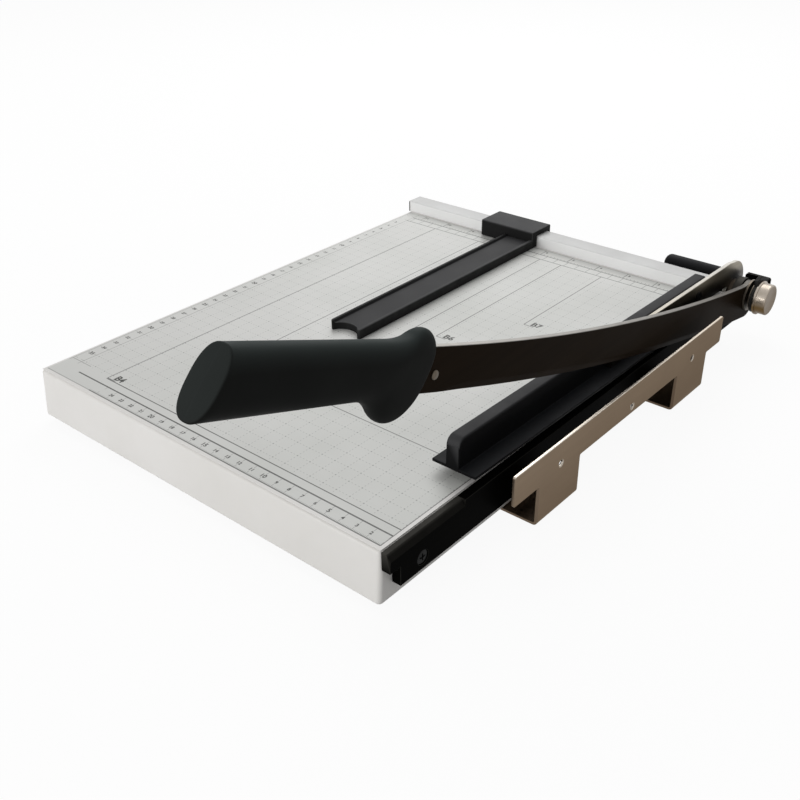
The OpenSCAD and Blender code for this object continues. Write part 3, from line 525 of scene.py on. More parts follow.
# painted shade: the guard darkens towards its bottom and its rear
nickel = metal("nickel", dict(
    colour=tone(122, 108, 93), shade=tone(117, 103, 89), wornAndLit=tone(226, 219, 208), darkBelow=tone(88, 74, 61),
    darkBelowRun=(0.0, 0.0024, -0.0133), darkBelowStart=0.858, rake=tone(230, 220, 208), lines=420.0,
    stretch=(1.0, 0.03, 1.0), marks=26.0, gloss=(0.28, 0.38), wearScale=180.0, wornAndLitShare=0.8, gaps=0.85,
    bump=0.05))
capNickel = metal("capNickel", dict(
    colour=tone(97, 78, 50), shade=tone(90, 72, 46), wornAndLit=tone(176, 167, 156), lines=700.0,
    stretch=(1.0, 1.0, 1.0), marks=60.0, gloss=(0.26, 0.36), wearScale=200.0, wornAndLitShare=0.95, gaps=0.8, bump=0.05))
# the lever darkens towards its bottom
brightSteel = metal("brightSteel", dict(
    colour=tone(140, 132, 116), shade=tone(129, 121, 106), wornAndLit=tone(206, 203, 196), darkBelow=tone(54, 48, 40),
    darkBelowRun=(0.0, -0.004, -0.125), darkBelowStart=2.0, lines=520.0, stretch=(1.0, 0.05, 1.0), marks=40.0,
    gloss=(0.28, 0.40), wearScale=240.0, wornAndLitShare=0.9, gaps=0.85, bump=0.10))
agedSteel = metal("agedSteel", dict(
    turnedMetal, colour=tone(100, 92, 82), shade=tone(84, 77, 68), wornAndLit=tone(160, 152, 142)))
zincSteel = metal("zincSteel", dict(
    smallMetal, colour=tone(178, 180, 184), shade=tone(160, 163, 168), wornAndLit=tone(214, 214, 214), lines=700.0,
    marks=90.0, gloss=(0.30, 0.46)))
bronze = metal("bronze", dict(
    turnedMetal, colour=tone(182, 140, 84), shade=tone(160, 120, 70), wornAndLit=tone(206, 170, 116)))
armSteel = blackened("armSteel", dict(
    longSteel, colour=tone(36, 28, 20), shade=tone(31, 24, 17), wornAndLit=tone(176, 173, 167), marks=22.0,
    gloss=(0.30, 0.44), shine=0.006, gaps=0.85, bump=0.10))
knifeSteel = blackened("knifeSteel", dict(
    longSteel, colour=tone(7, 7, 6), shade=tone(5, 5, 4), wornAndLit=tone(150, 147, 140), marks=24.0,
    gloss=(0.26, 0.38), shine=0.003, gaps=0.75, bump=0.08))
darkSteel = blackened("darkSteel", dict(
    colour=tone(18, 18, 18), shade=tone(14, 14, 14), wornAndLit=tone(130, 128, 124), stretch=(1.0, 1.0, 1.0),
    lines=500.0, marks=90.0, gloss=(0.28, 0.40), shine=0.06, wearScale=260.0, wornAndLitShare=0.6, gaps=0.4, bump=0.06))
print("finishes ready")


# Printed table: rulers, dotted grid and paper-size lines drawn by arithmetic on the sheet's own place.
# A border is a row of direction, place, half width, both ends and strength of ink.
tablePrint = dict(
    colour=tone(206, 206, 203), shade=tone(201, 202, 198), margin=tone(222, 220, 217), ink=tone(50, 51, 48),
    fine=1400.0, slow=9.0, marks=18.0, gloss=(0.40, 0.52), bump=0.06, bumpDepth=0.08, lineSoft=0.06,
    left=-293.2, leftEdge=-303.4, right=-9.6, rearGrid=-20.8, rearBand=-12.5, rearEdge=-2.6,
    frontGrid=-364.8, frontBand=-371.3, frontEdge=-381.2, bandStart=-282.4, edgeStart=-257.4,
    sideEnd=-361.9, gridStart=-261.0, longHookEnd=-33.0, fieldGap=2.0, hook=8.0, numberHalf=1.9,
    sizeShift=-4.0, millimetre=1.0, centimetre=10.0, dash=2.5, inch=25.4, inchZero=-5.0,
    borders=(("across", "frontGrid", 0.36, "gridStart", "right", 1.0),
             ("across", "frontBand", 0.52, "bandStart", "right", 1.0),
             ("across", "frontEdge", 0.42, "leftEdge", "edgeStart", 0.45),
             ("across", "frontEdge", 0.42, "edgeStart", "right", 0.9),
             ("across", "sideEnd", 0.30, "leftEdge", "bandStart", 0.5),
             ("down", "right", 0.30, "frontEdge", "rearGrid", 0.8),
             ("down", "left", 0.22, "frontGrid", "rearEdge", 0.6),
             ("down", "leftEdge", 0.18, "frontGrid", "rearEdge", 0.45),
             ("across", "rearGrid", 0.40, "left", "right", 0.85),
             ("across", "rearBand", 0.42, "left", "right", 0.9),
             ("across", "rearEdge", 0.30, "left", "right", 0.6)),
    tick=dict(front=1.4, side=1.3, eighth=2.4),
    half=dict(millimetre=0.12, centimetre=0.16, inch=0.28, eighth=0.18, cell=0.25, grid=0.17, dash=0.55,
              dot=0.42, size=0.36),
    strength=dict(front=0.7, side=0.6, centimetre=0.6, inch=0.85, eighth=0.65, cell=0.65, grid=0.46,
                  dot=0.58, size=0.82),
    digit=3.5, fifth=1.25, frontLast=24, sideLast=35, inchLast=11, rearDrop=3.4, inchShift=2.6,
    inkDepth=0.03, inkSpread=0.11, labelShift=(8.6, 3.8), labelSize=7.6, labelSpread=0.24,
    sizes=dict(B4=(257.0, 364.0), A4=(210.0, 297.0), A5=(148.0, 210.0), B6=(128.0, 182.0), B7=(91.0, 128.0)))


def makeTablePrint(look):
    material, tree, shader = newFinish("tablePrint")
    counted = put(tree, "VectorMath", {0: fromHome(tree), "Scale": 1 / mm}, operation="SCALE").outputs[0]
    split = put(tree, "SeparateXYZ", {0: counted}).outputs
    x, y = split[0], split[1]
    soft, half, strength, tick = (look[key] for key in ("lineSoft", "half", "strength", "tick"))
    one, ten, inch, zero = (look[key] for key in ("millimetre", "centimetre", "inch", "inchZero"))

    def stripe(value, middle, reach):
        # 1 within reach of the middle, 0 outside
        gap = maths(tree, "ABSOLUTE", maths(tree, "SUBTRACT", value, middle))
        return remap(tree, gap, reach - soft, reach + soft, 1.0, 0.0)

    def band(value, low, high):
        return stripe(value, (low + high) / 2, (high - low) / 2)

    def broken(value, low, high):
        # a band without its middle, where the numbers stand
        middle, gap = (low + high) / 2, look["numberHalf"]
        return maths(tree, "ADD", band(value, low, middle - gap), band(value, middle + gap, high))

    def every(value, pitch, reach, start=0.0):
        # lines at each whole pitch from the start: the fold's distance to the nearest one
        fold = maths(tree, "PINGPONG", maths(tree, "SUBTRACT", value, start), pitch / 2)
        return stripe(fold, 0.0, reach)

    def both(*masks):
        total = masks[0]
        for mask in masks[1:]:
            total = maths(tree, "MULTIPLY", total, mask)
        return total

    marks = []

    def mark(ink, *masks):
        marks.append((ink, both(*masks)))

    for direction, at, reach, start, stop, ink in look["borders"]:
        over, along = (y, x) if direction == "across" else (x, y)
        mark(ink, stripe(over, look[at], reach), band(along, look[start], look[stop]))
    # centimetre and millimetre marks along the front and down the left side
    ruled = band(x, look["edgeStart"], look["right"])
    sheetY = band(y, look["frontGrid"], look["rearEdge"])
    front = broken(y, look["frontEdge"], look["frontBand"])
    side = broken(x, look["leftEdge"], look["left"])
    frontTick = band(y, look["frontEdge"], look["frontEdge"] + tick["front"])
    sideTick = band(x, look["leftEdge"], look["leftEdge"] + tick["side"])
    mark(strength["centimetre"], every(x, ten, half["centimetre"]), front, ruled)
    mark(strength["front"], every(x, one, half["millimetre"]), frontTick, ruled)
    mark(strength["centimetre"], every(y, ten, half["centimetre"]), side, sheetY)
    mark(strength["side"], every(y, one, half["millimetre"]), sideTick, sheetY)
    # inches at the rear, with eighths, and centimetre cells below them
    across = band(x, look["left"], look["right"])
    inches = band(y, look["rearBand"], look["rearEdge"])
    eighths = band(y, look["rearBand"], look["rearBand"] + tick["eighth"])
    cells = band(y, look["rearGrid"], look["rearBand"])
    mark(strength["inch"], every(x, inch, half["inch"], zero), inches, across)
    mark(strength["eighth"], every(x, inch / 8, half["eighth"], zero), eighths, across)
    mark(strength["cell"], every(x, ten, half["cell"]), cells, across)
    # dotted grid with stronger dots at the crossings
    gap = look["fieldGap"]
    field = both(across, band(y, look["frontGrid"] + gap, look["rearGrid"] - gap))
    dashX = both(every(x, ten, half["grid"]), every(y, look["dash"], half["dash"]))
    dashY = both(every(y, ten, half["grid"]), every(x, look["dash"], half["dash"]))
    dots = both(every(x, ten, half["dot"]), every(y, ten, half["dot"]))
    mark(strength["grid"], maths(tree, "MAXIMUM", dashX, dashY), field)
    mark(strength["dot"], dots, field)
    # one line down and one across for each paper size; the one across is a short hook, but long for A4
    for name, (width, length) in look["sizes"].items():
        edge = look["sizeShift"] - width
        stop = look["longHookEnd"] if name == "A4" else edge + look["hook"]
        mark(strength["size"], stripe(x, edge, half["size"]), band(y, -length, look["rearGrid"]))
        mark(strength["size"], stripe(y, -length, half["size"]), band(x, edge, stop))

    total = None
    for share, mask in marks:
        weighed = maths(tree, "MULTIPLY", mask, share)
        total = weighed if total is None else maths(tree, "MAXIMUM", total, weighed)
    height, body = patchy(tree, look)
    printed = both(band(x, look["leftEdge"], look["right"]), band(y, look["frontEdge"], look["rearEdge"]))
    sheet = mixed(tree, printed, look["margin"], body)
    tree.links.new(mixed(tree, total, sheet, look["ink"]), shader.inputs["Base Color"])
    setPolish(tree, shader, look)
    setBump(tree, shader, height, look["bump"], look["bumpDepth"])
    return material


tableFinish = makeTablePrint(tablePrint)
inkFinish = coated("rulerInk", dict(
    colour=tone(52, 53, 50), shade=tone(62, 63, 59), wornAndLit=tone(110, 110, 104), fine=1500.0, slow=90.0,
    marks=60.0, gloss=(0.42, 0.54), shine=0.3, wearScale=200.0, wornAndLitShare=0.2, bump=0.05, bumpDepth=0.05))


def glyph(body, size, depth, spread):
    # one word or digit as a thin closed solid, centred on the origin, in millimetres
    curve = bpy.data.curves.new("glyph", "FONT")
    curve.body = body
    curve.size = size
    curve.align_x = "CENTER"
    curve.align_y = "CENTER"
    curve.extrude = depth / 2
    curve.offset = spread
    curve.resolution_u = 3
    holder = placed("glyph", curve)
    solid = holder.evaluated_get(bpy.context.evaluated_depsgraph_get()).to_mesh()
    points = np.empty(len(solid.vertices) * 3)
    solid.vertices.foreach_get("co", points)
    solid.calc_loop_triangles()
    triangles = np.empty(len(solid.loop_triangles) * 3, int)
    solid.loop_triangles.foreach_get("vertices", triangles)
    points = points.reshape(-1, 3)
    points[:, :2] -= (points[:, :2].max(0) + points[:, :2].min(0)) / 2
    bpy.data.objects.remove(holder)
    bpy.data.curves.remove(curve)
    return points, [triangles.reshape(-1, 3)], np.zeros(len(points))


def makeRulerNumbers(look):
    depth, digit, spread = look["inkDepth"], look["digit"], look["inkSpread"]
    frontY = (look["frontBand"] + look["frontEdge"]) / 2
    sideX = (look["left"] + look["leftEdge"]) / 2
    rearY = look["rearEdge"] - look["rearDrop"]
    right, up = look["labelShift"]

    def size(count):
        # every fifth number is larger
        return digit * (look["fifth"] if count % 5 == 0 else 1.0)

    words = []
    for count in range(2, look["frontLast"] + 1):
        words.append((str(count), size(count), spread, -look["centimetre"] * count, frontY))
    for count in range(3, look["sideLast"] + 1):
        words.append((str(count), size(count), spread, sideX, -look["centimetre"] * count))
    for count in range(2, look["inchLast"] + 1):
        x = look["inchZero"] - look["inch"] * count + look["inchShift"]
        words.append((str(count), digit, spread, x, rearY))
    for label, (width, length) in look["sizes"].items():
        x = look["sizeShift"] - width + right
        words.append((label, look["labelSize"], look["labelSpread"], x, up - length))
    lift = depth / 2
    return join(*[moved(glyph(word, high, depth, bold), (x, y, lift)) for word, high, bold, x, y in words])


addPiece("ruler_numbers", makeRulerNumbers(tablePrint), "base", "table_print", inkFinish)
print("printed table ready")


# Tray: one folded profile carried round the rounded rectangle
tray = dict(wall=1.5, corner=3.0, leastCorner=0.4, cornerSteps=7, lip=18.0, shelf=30.0, topFold=2.2,
            footFold=2.0, innerFold=0.7, rim=0.5, cutEdge=0.3, flare=2.0, foldRub=0.9, footRub=0.5,
            rubReach=1.6)


def makeTray(look):
    low, high = span("base_shell")
    wall, lip, shelf = look["wall"], look["lip"], look["shelf"]
    corners = [(shelf, high[2] - wall), (wall, high[2] - wall), (wall, low[2] + wall), (lip, low[2] + wall),
               (lip, low[2]), (0, low[2]), (0, high[2]), (shelf, high[2])]
    radii = [look[key] for key in ("cutEdge", "innerFold", "innerFold", "rim", "rim", "footFold", "topFold",
                                   "cutEdge")]
    profile = rounded(corners, radii, 6, closed=False)
    inset, height = profile.T
    radius = np.maximum(look["corner"] - inset, look["leastCorner"])
    steps = look["cornerSteps"]
    quarter = np.linspace(0, math.pi / 2, steps)
    angle = np.concatenate([quarter + math.pi / 2 * k for k in (2, 3, 0, 1)])
    right = np.repeat([0, 1, 1, 0], steps)
    rear = np.repeat([0, 0, 1, 1], steps)
    margin = (inset + radius)[:, None]
    x = low[0] + margin + right * (high[0] - low[0] - 2 * margin) + radius[:, None] * np.cos(angle)
    y = low[1] + margin + rear * (high[1] - low[1] - 2 * margin) + radius[:, None] * np.sin(angle)
    # the front and left walls lean out towards the foot
    lean = look["flare"] * (high[2] - height[:, None]) / (high[2] - low[2])
    x = x - lean * (1 - right)
    y = y - lean * (1 - rear)
    rings = np.stack([x, y, np.repeat(height[:, None], len(angle), 1)], -1)
    bend = np.abs(np.hypot(inset, height - high[2]) - look["foldRub"])
    sole = np.hypot(inset - look["footRub"], height - low[2] - look["footRub"])
    fold = np.clip(1 - bend / look["rubReach"], 0, 1)
    foot = np.clip(1 - sole / look["rubReach"], 0, 1)
    return loft(rings, np.maximum(fold, foot))


addPiece("tray_shell", makeTray(tray), "base", "tray_paint", trayPaint, "base_shell")


# Rear fence: channel section carried along x
fence = dict(sheet=1.2, outerBend=1.0, innerBend=0.4, cut=0.4, rim=0.2, endLine=1.2, endFade=0.2,
             endFacing=(-0.9, -0.7), endTone=tone(74, 73, 71))


def makeFence(look):
    low, high = span("rear_fence")
    foot = span("print_sheet")[0][2]
    t = look["sheet"]
    front, back, top = low[1], high[1], high[2]
    corners = [(front, foot), (front + t, foot), (front + t, top - t), (back - t, top - t),
               (back - t, low[2]), (back, low[2]), (back, top), (front, top)]
    radii = [look["cut"], look["cut"], look["innerBend"], look["innerBend"], look["cut"], look["cut"],
             look["outerBend"], look["outerBend"]]
    section = rounded(corners, radii, 6)
    return acrossX(plate(section, high[0] - low[0], look["rim"], wallRub=False), low[0])


def markFenceEnd(material, look):
    # a thin dark line is painted down the left end of the fence's face, on the side facing the front
    tree = material.node_tree
    colour = tree.nodes["Principled BSDF"].inputs["Base Color"]
    paint = colour.links[0].from_socket
    coordinates = put(tree, "TexCoord").outputs
    along = put(tree, "SeparateXYZ", {0: coordinates["Object"]}).outputs[0]
    facing = put(tree, "SeparateXYZ", {0: coordinates["Normal"]}).outputs[1]
    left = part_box("rear_fence")[0].x + look["endLine"] * mm
    near = remap(tree, along, left, left + look["endFade"] * mm, 1.0, 0.0)
    front = remap(tree, facing, *look["endFacing"], 1.0, 0.0)
    tree.links.new(mixed(tree, maths(tree, "MULTIPLY", near, front), paint, look["endTone"]), colour)


markFenceEnd(fencePaint, fence)
addPiece("fence_channel", makeFence(fence), "base", "fence_paint", fencePaint, "rear_fence")


# Lower knife: bar with a cut-back nose, a lead-in ground at the front, and the ear round the bolt
knife = dict(rim=0.35, barHigh=24.0, noseHigh=11.5, noseLong=8.0, earRadius=12.0, earBack=5.0, earSteps=30,
             leadLong=62.0, leadWide=2.6, leadDeep=4.0, leadStep=0.3, screwRadius=4.375, screwRoom=0.1,
             holeSides=32, edgeWearAndLight=0.08, topShine=0.14, leadShine=0.04, earRub=0.25, earFrom=1.0,
             near=0.1, skin=0.02)
screw = dict(crossLong=2.25, crossHalf=0.55, crossDeep=1.0, wallRun=0.18, endRun=0.5, rim=0.3, dome=0.25,
             headHigh=2.0, shank=2.5, tip=0.3, core=0.04, ringFrom=0.12, rings=26, sides=64)
screwLow, screwFar = span("knife_screws")
screwRow = np.linspace(screwLow[1] + knife["screwRadius"], screwFar[1] - knife["screwRadius"], 4)
screwHigh = (screwLow[2] + screwFar[2]) / 2


def makeKnife(look):
    low, high = span("knife_bar")
    ear = look["earRadius"]
    backAngle = math.degrees(math.asin(look["earBack"] / ear))
    frontAngle = 180 - math.degrees(math.asin(-pivot[2] / ear))
    leadEnd = low[1] + look["leadLong"]
    outline = np.concatenate([
        [(low[1], -look["noseHigh"]), (low[1] + look["noseLong"], -look["noseHigh"]),
         (low[1] + look["noseLong"], -look["barHigh"]), (pivot[1], -look["barHigh"]),
         (pivot[1], pivot[2] - ear), (high[1], pivot[2] - ear), (high[1], pivot[2] + look["earBack"])],
        arc(pivot[1:], ear, backAngle, frontAngle, look["earSteps"]),
        [(leadEnd + look["leadStep"], 0.0), (leadEnd, 0.0), (low[1], 0.0)]])
    lead = (outline[:, 1] == 0) & (outline[:, 0] <= leadEnd)
    rim = look["rim"]
    ground = [np.where(lead, look["leadDeep"], rim), np.where(lead, look["leadWide"], rim),
              np.where(lead, 1.0, 0.0)]
    inward = inwardOf(outline)
    inward[-1] = (rim / look["leadDeep"], -1)
    hole = look["screwRadius"] + look["screwRoom"]
    holes = [roundHole((y, screwHigh), hole, look["holeSides"]) for y in screwRow]
    thick = high[0] - low[0]
    points, faces, wearAndLight = plate(outline, thick, rim, holes, ground=ground, inward=inward, wallRub=False)
    # painted reflection: the top of the lead-in is coloured grey, its ground face less; the top of the ear is half
    # bare
    y, z, depth = points.T
    near, skin = look["near"], look["skin"]
    inLead = y < leadEnd + near
    leadFace = inLead & (z > -look["leadDeep"] - near) & (depth > thick - look["leadWide"] - near)
    earTop = (z > look["earFrom"]) & (depth > skin) & (depth < thick - skin)
    wearAndLight = np.where(leadFace, look["leadShine"], np.where(earTop, look["earRub"], look["edgeWearAndLight"] * wearAndLight))
    wearAndLight = np.where(inLead & (z > -near / 2), look["topShine"], wearAndLight)
    return acrossX((points, faces, wearAndLight), low[0])


def crossScrew(radius, length, look):
    # disc on a polar grid: dome falling to a round rim, with a cross pressed in where either arm covers it,
    # and below the head a plain shank to the screw's whole length
    reach = np.concatenate([[look["core"]], np.linspace(look["ringFrom"], 1, look["rings"])]) * radius
    angle = np.linspace(0, 2 * math.pi, look["sides"], endpoint=False)
    a, b = reach[:, None] * np.cos(angle), reach[:, None] * np.sin(angle)

    def arm(p, q):
        side = np.clip((look["crossHalf"] - np.abs(p)) / look["wallRun"], 0, 1)
        return side * np.clip((look["crossLong"] - np.abs(q)) / look["endRun"], 0, 1)

    pressed = np.maximum(arm(a, b), arm(b, a)) * look["crossDeep"]
    rim = np.clip((reach - radius + look["rim"]) / look["rim"], 0, 1)[:, None]
    fall = look["rim"] * (1 - np.sqrt(1 - rim ** 2 * 0.999)) + look["dome"] * (reach[:, None] / radius) ** 2
    top = np.stack([-fall - pressed, a, b], -1)[::-1]
    tip, wide, head = look["tip"], look["shank"], -look["headHigh"]
    below = np.array([-length, -length, tip - length, head, head])[:, None]
    wide = np.array([tip, wide - tip, wide, wide, radius])[:, None]
    shank = np.stack([np.repeat(below, len(angle), 1), wide * np.cos(angle), wide * np.sin(angle)], -1)
    return loft(np.concatenate([shank, top]))


addPiece("knife_bar_ground", makeKnife(knife), "base", "black_steel", knifeSteel, "knife_bar")
knifeScrew = crossScrew(knife["screwRadius"], screwFar[0] - screwLow[0], screw)
screws = [moved(knifeScrew, (screwFar[0], y, screwHigh)) for y in screwRow]
addPiece("knife_cross_screws", join(*screws), "base", "black_steel", darkSteel, "knife_screws")
print("tray, fence and knife ready")


# Guard: a flat blank with its holes, its two legs folded under the tray round the bend line
guard = dict(sheet=2.0, rim=0.4, nip=1.0, railHigh=19.9, legWide=43.5, legFront=25.0, legRear=21.0,
             legFillet=1.0, filletSteps=6, bendInner=1.0, aboveBend=2.0, tabRow=4.0, tabCut=0.6,
             holeRadius=2.1, holeFront=47.2, holePitch=82.0, holeRise=4.9, holeRim=0.7, holeSides=24, rows=9,
             frontShine=1.0, rearShine=0.6, topBand=0.6, holeShine=0.8, holeReach=1.0)


def makeGuard(look):
    low, high = span("guard")
    sheet, nip, fillet = look["sheet"], look["nip"], look["legFillet"]
    up, front, rear = high[2], low[1], high[1]
    down = up - look["railHigh"]
    inner = high[0] - sheet
    bendTop = low[2] + sheet + look["bendInner"]
    neutral = look["bendInner"] + sheet / 2
    tabLong = inner - look["bendInner"] - low[0]
    bendRows = bendTop - neutral * np.linspace(0, math.pi / 2, look["rows"])
    end = bendRows[-1] - tabLong
    cut, steps = look["tabCut"], look["filletSteps"]
    rows = np.concatenate([[bendTop + look["aboveBend"]], bendRows, [end + look["tabRow"], end + cut]])
    legs = [front + look["legFront"], rear - look["legRear"] - look["legWide"]]

    def leg(start):
        stop = start + look["legWide"]
        into = arc((start - fillet, down - fillet), fillet, 90, 0, steps)
        out = arc((stop + fillet, down - fillet), fillet, 180, 90, steps)
        fore = np.stack([np.full(len(rows), start), rows], 1)
        aft = np.stack([np.full(len(rows), stop), rows[::-1]], 1)
        return np.concatenate([into, fore, [(start + cut, end), (stop - cut, end)], aft, out])

    parts = [[(front + nip, down)], leg(legs[0]), leg(legs[1]),
             [(rear - nip, down), (rear, down + nip), (rear, up - nip), (rear - nip, up),
              (front + nip, up), (front, up - nip), (front, down + nip)]]
    outline = np.concatenate(parts)
    legSize = len(parts[1])
    # each row of a leg is kept as an edge from side to side, so that the leg folds along it
    pairs = np.array([(steps + k, steps + 2 * len(rows) + 1 - k) for k in range(len(rows))]) + 1
    cross = np.concatenate([pairs, pairs + legSize])
    holeHigh = down + look["holeRise"]
    holeRow = front + look["holeFront"] + look["holePitch"] * np.arange(3)
    holes = [roundHole((y, holeHigh), look["holeRadius"], look["holeSides"]) for y in holeRow]
    blank, faces, wearAndLight = plate(outline, sheet, look["rim"], holes, cross, holeEdge=look["holeRim"])
    a, b, h = blank.T
    # fold: past the bend line a point turns about the bend's centre, then runs straight under the tray
    gone = np.maximum(bendTop - b, 0)
    angle = np.minimum(gone / neutral, math.pi / 2)
    straight = np.maximum(gone - neutral * math.pi / 2, 0)
    radius = look["bendInner"] + h
    x = inner - look["bendInner"] + radius * np.cos(angle) - straight
    z = np.maximum(b, bendTop) - radius * np.sin(angle)
    # hands and paper polish the top of the rail, most at the front, and the rims of its holes; their bright colour
    # is also a painted highlight
    nearHole = np.abs(b - holeHigh) < look["holeRadius"] + look["holeReach"]
    topShine = np.interp(a, [front, rear], [look["frontShine"], look["rearShine"]]) * (b > up - look["topBand"])
    return np.stack([x, a, z], 1), faces, wearAndLight * np.where(nearHole, look["holeShine"], topShine)


addPiece("guard_rail", makeGuard(guard), "base", "nickel", nickel, "guard")


# Pivot: outer ear and rear wall in black, and the bolt with its nickel cap and the ring behind it
ear = dict(rim=0.5, radius=12.0, rise=17.0, lean=6.0, leanFall=2.0, wallFall=3.0, sheet=3.0, arcEnd=262.0,
           arcSteps=20, wallCorner=1.0)
bolt = dict(capRadius=11.75, capLong=9.2, flangeRadius=13.0, flangeLong=1.8, shank=5.0, endSoft=0.8,
            dish=0.35, dishRadius=3.0, faceRim=1.8, faceFall=0.05, shadeDrop=3.0, shadeRun=8.0, rubDeep=1.3,
            sides=64, edges=(0.3, 0.3, 0.2, 0.3, 0.3, 0.3, 1.0, 0.1, 0.3))
lowEar, highEar = span("pivot_bracket")


def makeEar(look):
    r, py, pz = look["radius"], pivot[1], pivot[2]
    lean, back = look["lean"], highEar[1]
    meet = math.degrees(math.acos(-lean / r))
    outline = np.concatenate([
        [(py, pz - r), (back, pz - r), (back, pz + r - look["wallFall"]), (py, pz + look["rise"]),
         (py - lean, pz + look["rise"] - look["leanFall"])],
        arc(pivot[1:], r, meet, look["arcEnd"], look["arcSteps"])])
    side = acrossX(plate(outline, look["sheet"], look["rim"]), highEar[0] - look["sheet"])
    wallTop = pz + r - look["wallFall"]
    corners = [(pz - r, lowEar[0]), (wallTop, lowEar[0]), (wallTop, highEar[0]), (pz - r, highEar[0])]
    wall = plate(rounded(corners[::-1], look["wallCorner"]), look["sheet"], look["rim"])
    return join(side, acrossY(wall, back - look["sheet"]))


def makeBolt(look):
    low, high = span("pivot_bolt")
    start = high[0] - look["capLong"]
    step = start + look["flangeLong"]
    shank, flange, cap = look["shank"], look["flangeRadius"], look["capRadius"]
    corners = [(low[0], shank - look["endSoft"]), (low[0] + look["endSoft"], shank), (start, shank),
               (start, flange), (step, flange), (step, cap), (high[0], cap),
               (high[0] - look["faceFall"], cap - look["faceRim"]),
               (high[0] - look["dish"], look["dishRadius"])]
    profile = rounded(corners, look["edges"], 6, closed=False)
    # the cap's side is polished silver; painted shade keeps its lower part in the browner colour, and its face
    # keeps the browner plating
    wearAndLight = np.clip(profile[:, 1] - cap + look["rubDeep"], 0, 1)
    points, faces, wearAndLight = turned(profile, (0, pivot[1], pivot[2]), sides=look["sides"], wearAndLight=wearAndLight)
    above = np.clip((points[:, 2] - pivot[2] + look["shadeDrop"]) / look["shadeRun"], 0, 1)
    return points, faces, wearAndLight * above


addPiece("pivot_ear", makeEar(ear), "base", "black_paint", blackPaint, "pivot_bracket")
addPiece("pivot_cap", makeBolt(bolt), "base", "nickel", capNickel, "pivot_bolt")


# Rubber feet: turned, with a soft foot edge and the screw's recess
foot = dict(radius=6.0, taper=0.6, recess=3.9, recessDeep=3.0, core=0.4, rubReach=2.0, sides=40,
            edges=(0.2, 0.3, 0.4, 1.2, 0.3, 0.2))


def makeFeet(look):
    low, high = span("rubber_feet")
    r, core, recessTop = look["radius"], look["core"], low[2] + look["recessDeep"]
    corners = [(recessTop, core), (recessTop, look["recess"]), (low[2], look["recess"]),
               (low[2], r - look["taper"]), (high[2], r), (high[2], core)]
    profile = rounded(corners, look["edges"], 5, closed=False)
    wearAndLight = np.clip(1 - np.hypot(profile[:, 0] - low[2], profile[:, 1] - r) / look["rubReach"], 0, 1)
    places = [(x, y, 0) for x in (low[0] + r, high[0] - r) for y in (low[1] + r, high[1] - r)]
    return join(*[turned(profile, place, "z", look["sides"], wearAndLight) for place in places])


addPiece("feet", makeFeet(foot), "base", "black_rubber", blackRubber, "rubber_feet")
print("guard, pivot and feet ready")


# Blade arm: sickle outline in distance from the bolt (u) and height (v), ground along the cutting edge
arm = dict(restTilt=11.1, rim=0.45, middleRadius=2078.0, lowAt=52.3, lowDrop=5.56, rootWide=26.0,
           tipWide=23.0, end=428.0, eye=10.8, rootFrom=-86.0, rootSteps=14, eyeStart=3.0, eyeStop=2.0,
           eyeSteps=26, groundWide=4.0, groundFall=1.4, groundFrom=60.0, groundTo=392.0, fade=18.0,
           stations=90, rootShine=0.4, tipShine=1.0, topShare=0.25)
closedTilt = arm["restTilt"] + joints["arm_hinge"]["range_deg"][0]
armLow, armHigh = span("blade_arm")
armMid = (armLow[0] + armHigh[0]) / 2


def middleHeight(u):
    # arc of a circle whose lowest point lies a little way in front of the bolt
    radius = arm["middleRadius"]
    return -arm["lowDrop"] + radius - np.sqrt(radius ** 2 - (u - arm["lowAt"]) ** 2)


def makeArm(look):
    u = np.linspace(0, look["end"], look["stations"])
    half = (look["rootWide"] + (look["tipWide"] - look["rootWide"]) * u / look["end"]) / 2
    lower = np.stack([-u, middleHeight(u) - half], 1)[::-1]
    upper = np.stack([-u, middleHeight(u) + half], 1)
    eye, root, drop = look["eye"], look["rootWide"] / 2, -middleHeight(0)
    meetHigh = (root ** 2 - eye ** 2 - drop ** 2) / (2 * drop)
    meetFar = math.sqrt(eye ** 2 - meetHigh ** 2)
    rootEnd = math.degrees(math.atan2(meetHigh + drop, meetFar))
    rootArc = arc((0, -drop), root, look["rootFrom"], rootEnd, look["rootSteps"])
    meet = math.degrees(math.atan2(meetHigh, meetFar))
    leave = 180 - math.degrees(math.asin((root - drop) / eye))
    eyeArc = arc((0, 0), eye, meet + look["eyeStart"], leave - look["eyeStop"], look["eyeSteps"])
    outline = np.concatenate([lower, rootArc, eyeArc, upper[u > eye]])
    far = -outline[:, 0]
    fadeIn = np.clip((far - look["groundFrom"]) / look["fade"], 0, 1)
    fadeOut = np.clip((look["groundTo"] - far) / look["fade"], 0, 1)
    share = np.minimum(fadeIn, fadeOut) * (np.arange(len(outline)) < len(lower))
    rim = look["rim"]
    ground = (rim + share * (look["groundWide"] - rim), rim + share * (look["groundFall"] - rim), share)
    points, faces, wearAndLight = plate(outline, armHigh[0] - armLow[0], rim, ground=ground)
    # only the upper edge is ground bright and carries a painted highlight, most of all towards the handle
    far = -points[:, 0]
    top = points[:, 1] > middleHeight(far.clip(0, look["end"])) + look["topShare"] * look["rootWide"]
    wearAndLight = wearAndLight * top * np.interp(far, [0, look["end"]], [look["rootShine"], look["tipShine"]])
    flat = np.stack([armLow[0] + points[:, 2], pivot[1] + points[:, 0], pivot[2] + points[:, 1]], 1)
    return lifted(flat, look["restTilt"]), faces, wearAndLight


addPiece("sickle_blade", makeArm(arm), "arm", "black_steel", armSteel, "blade_arm")


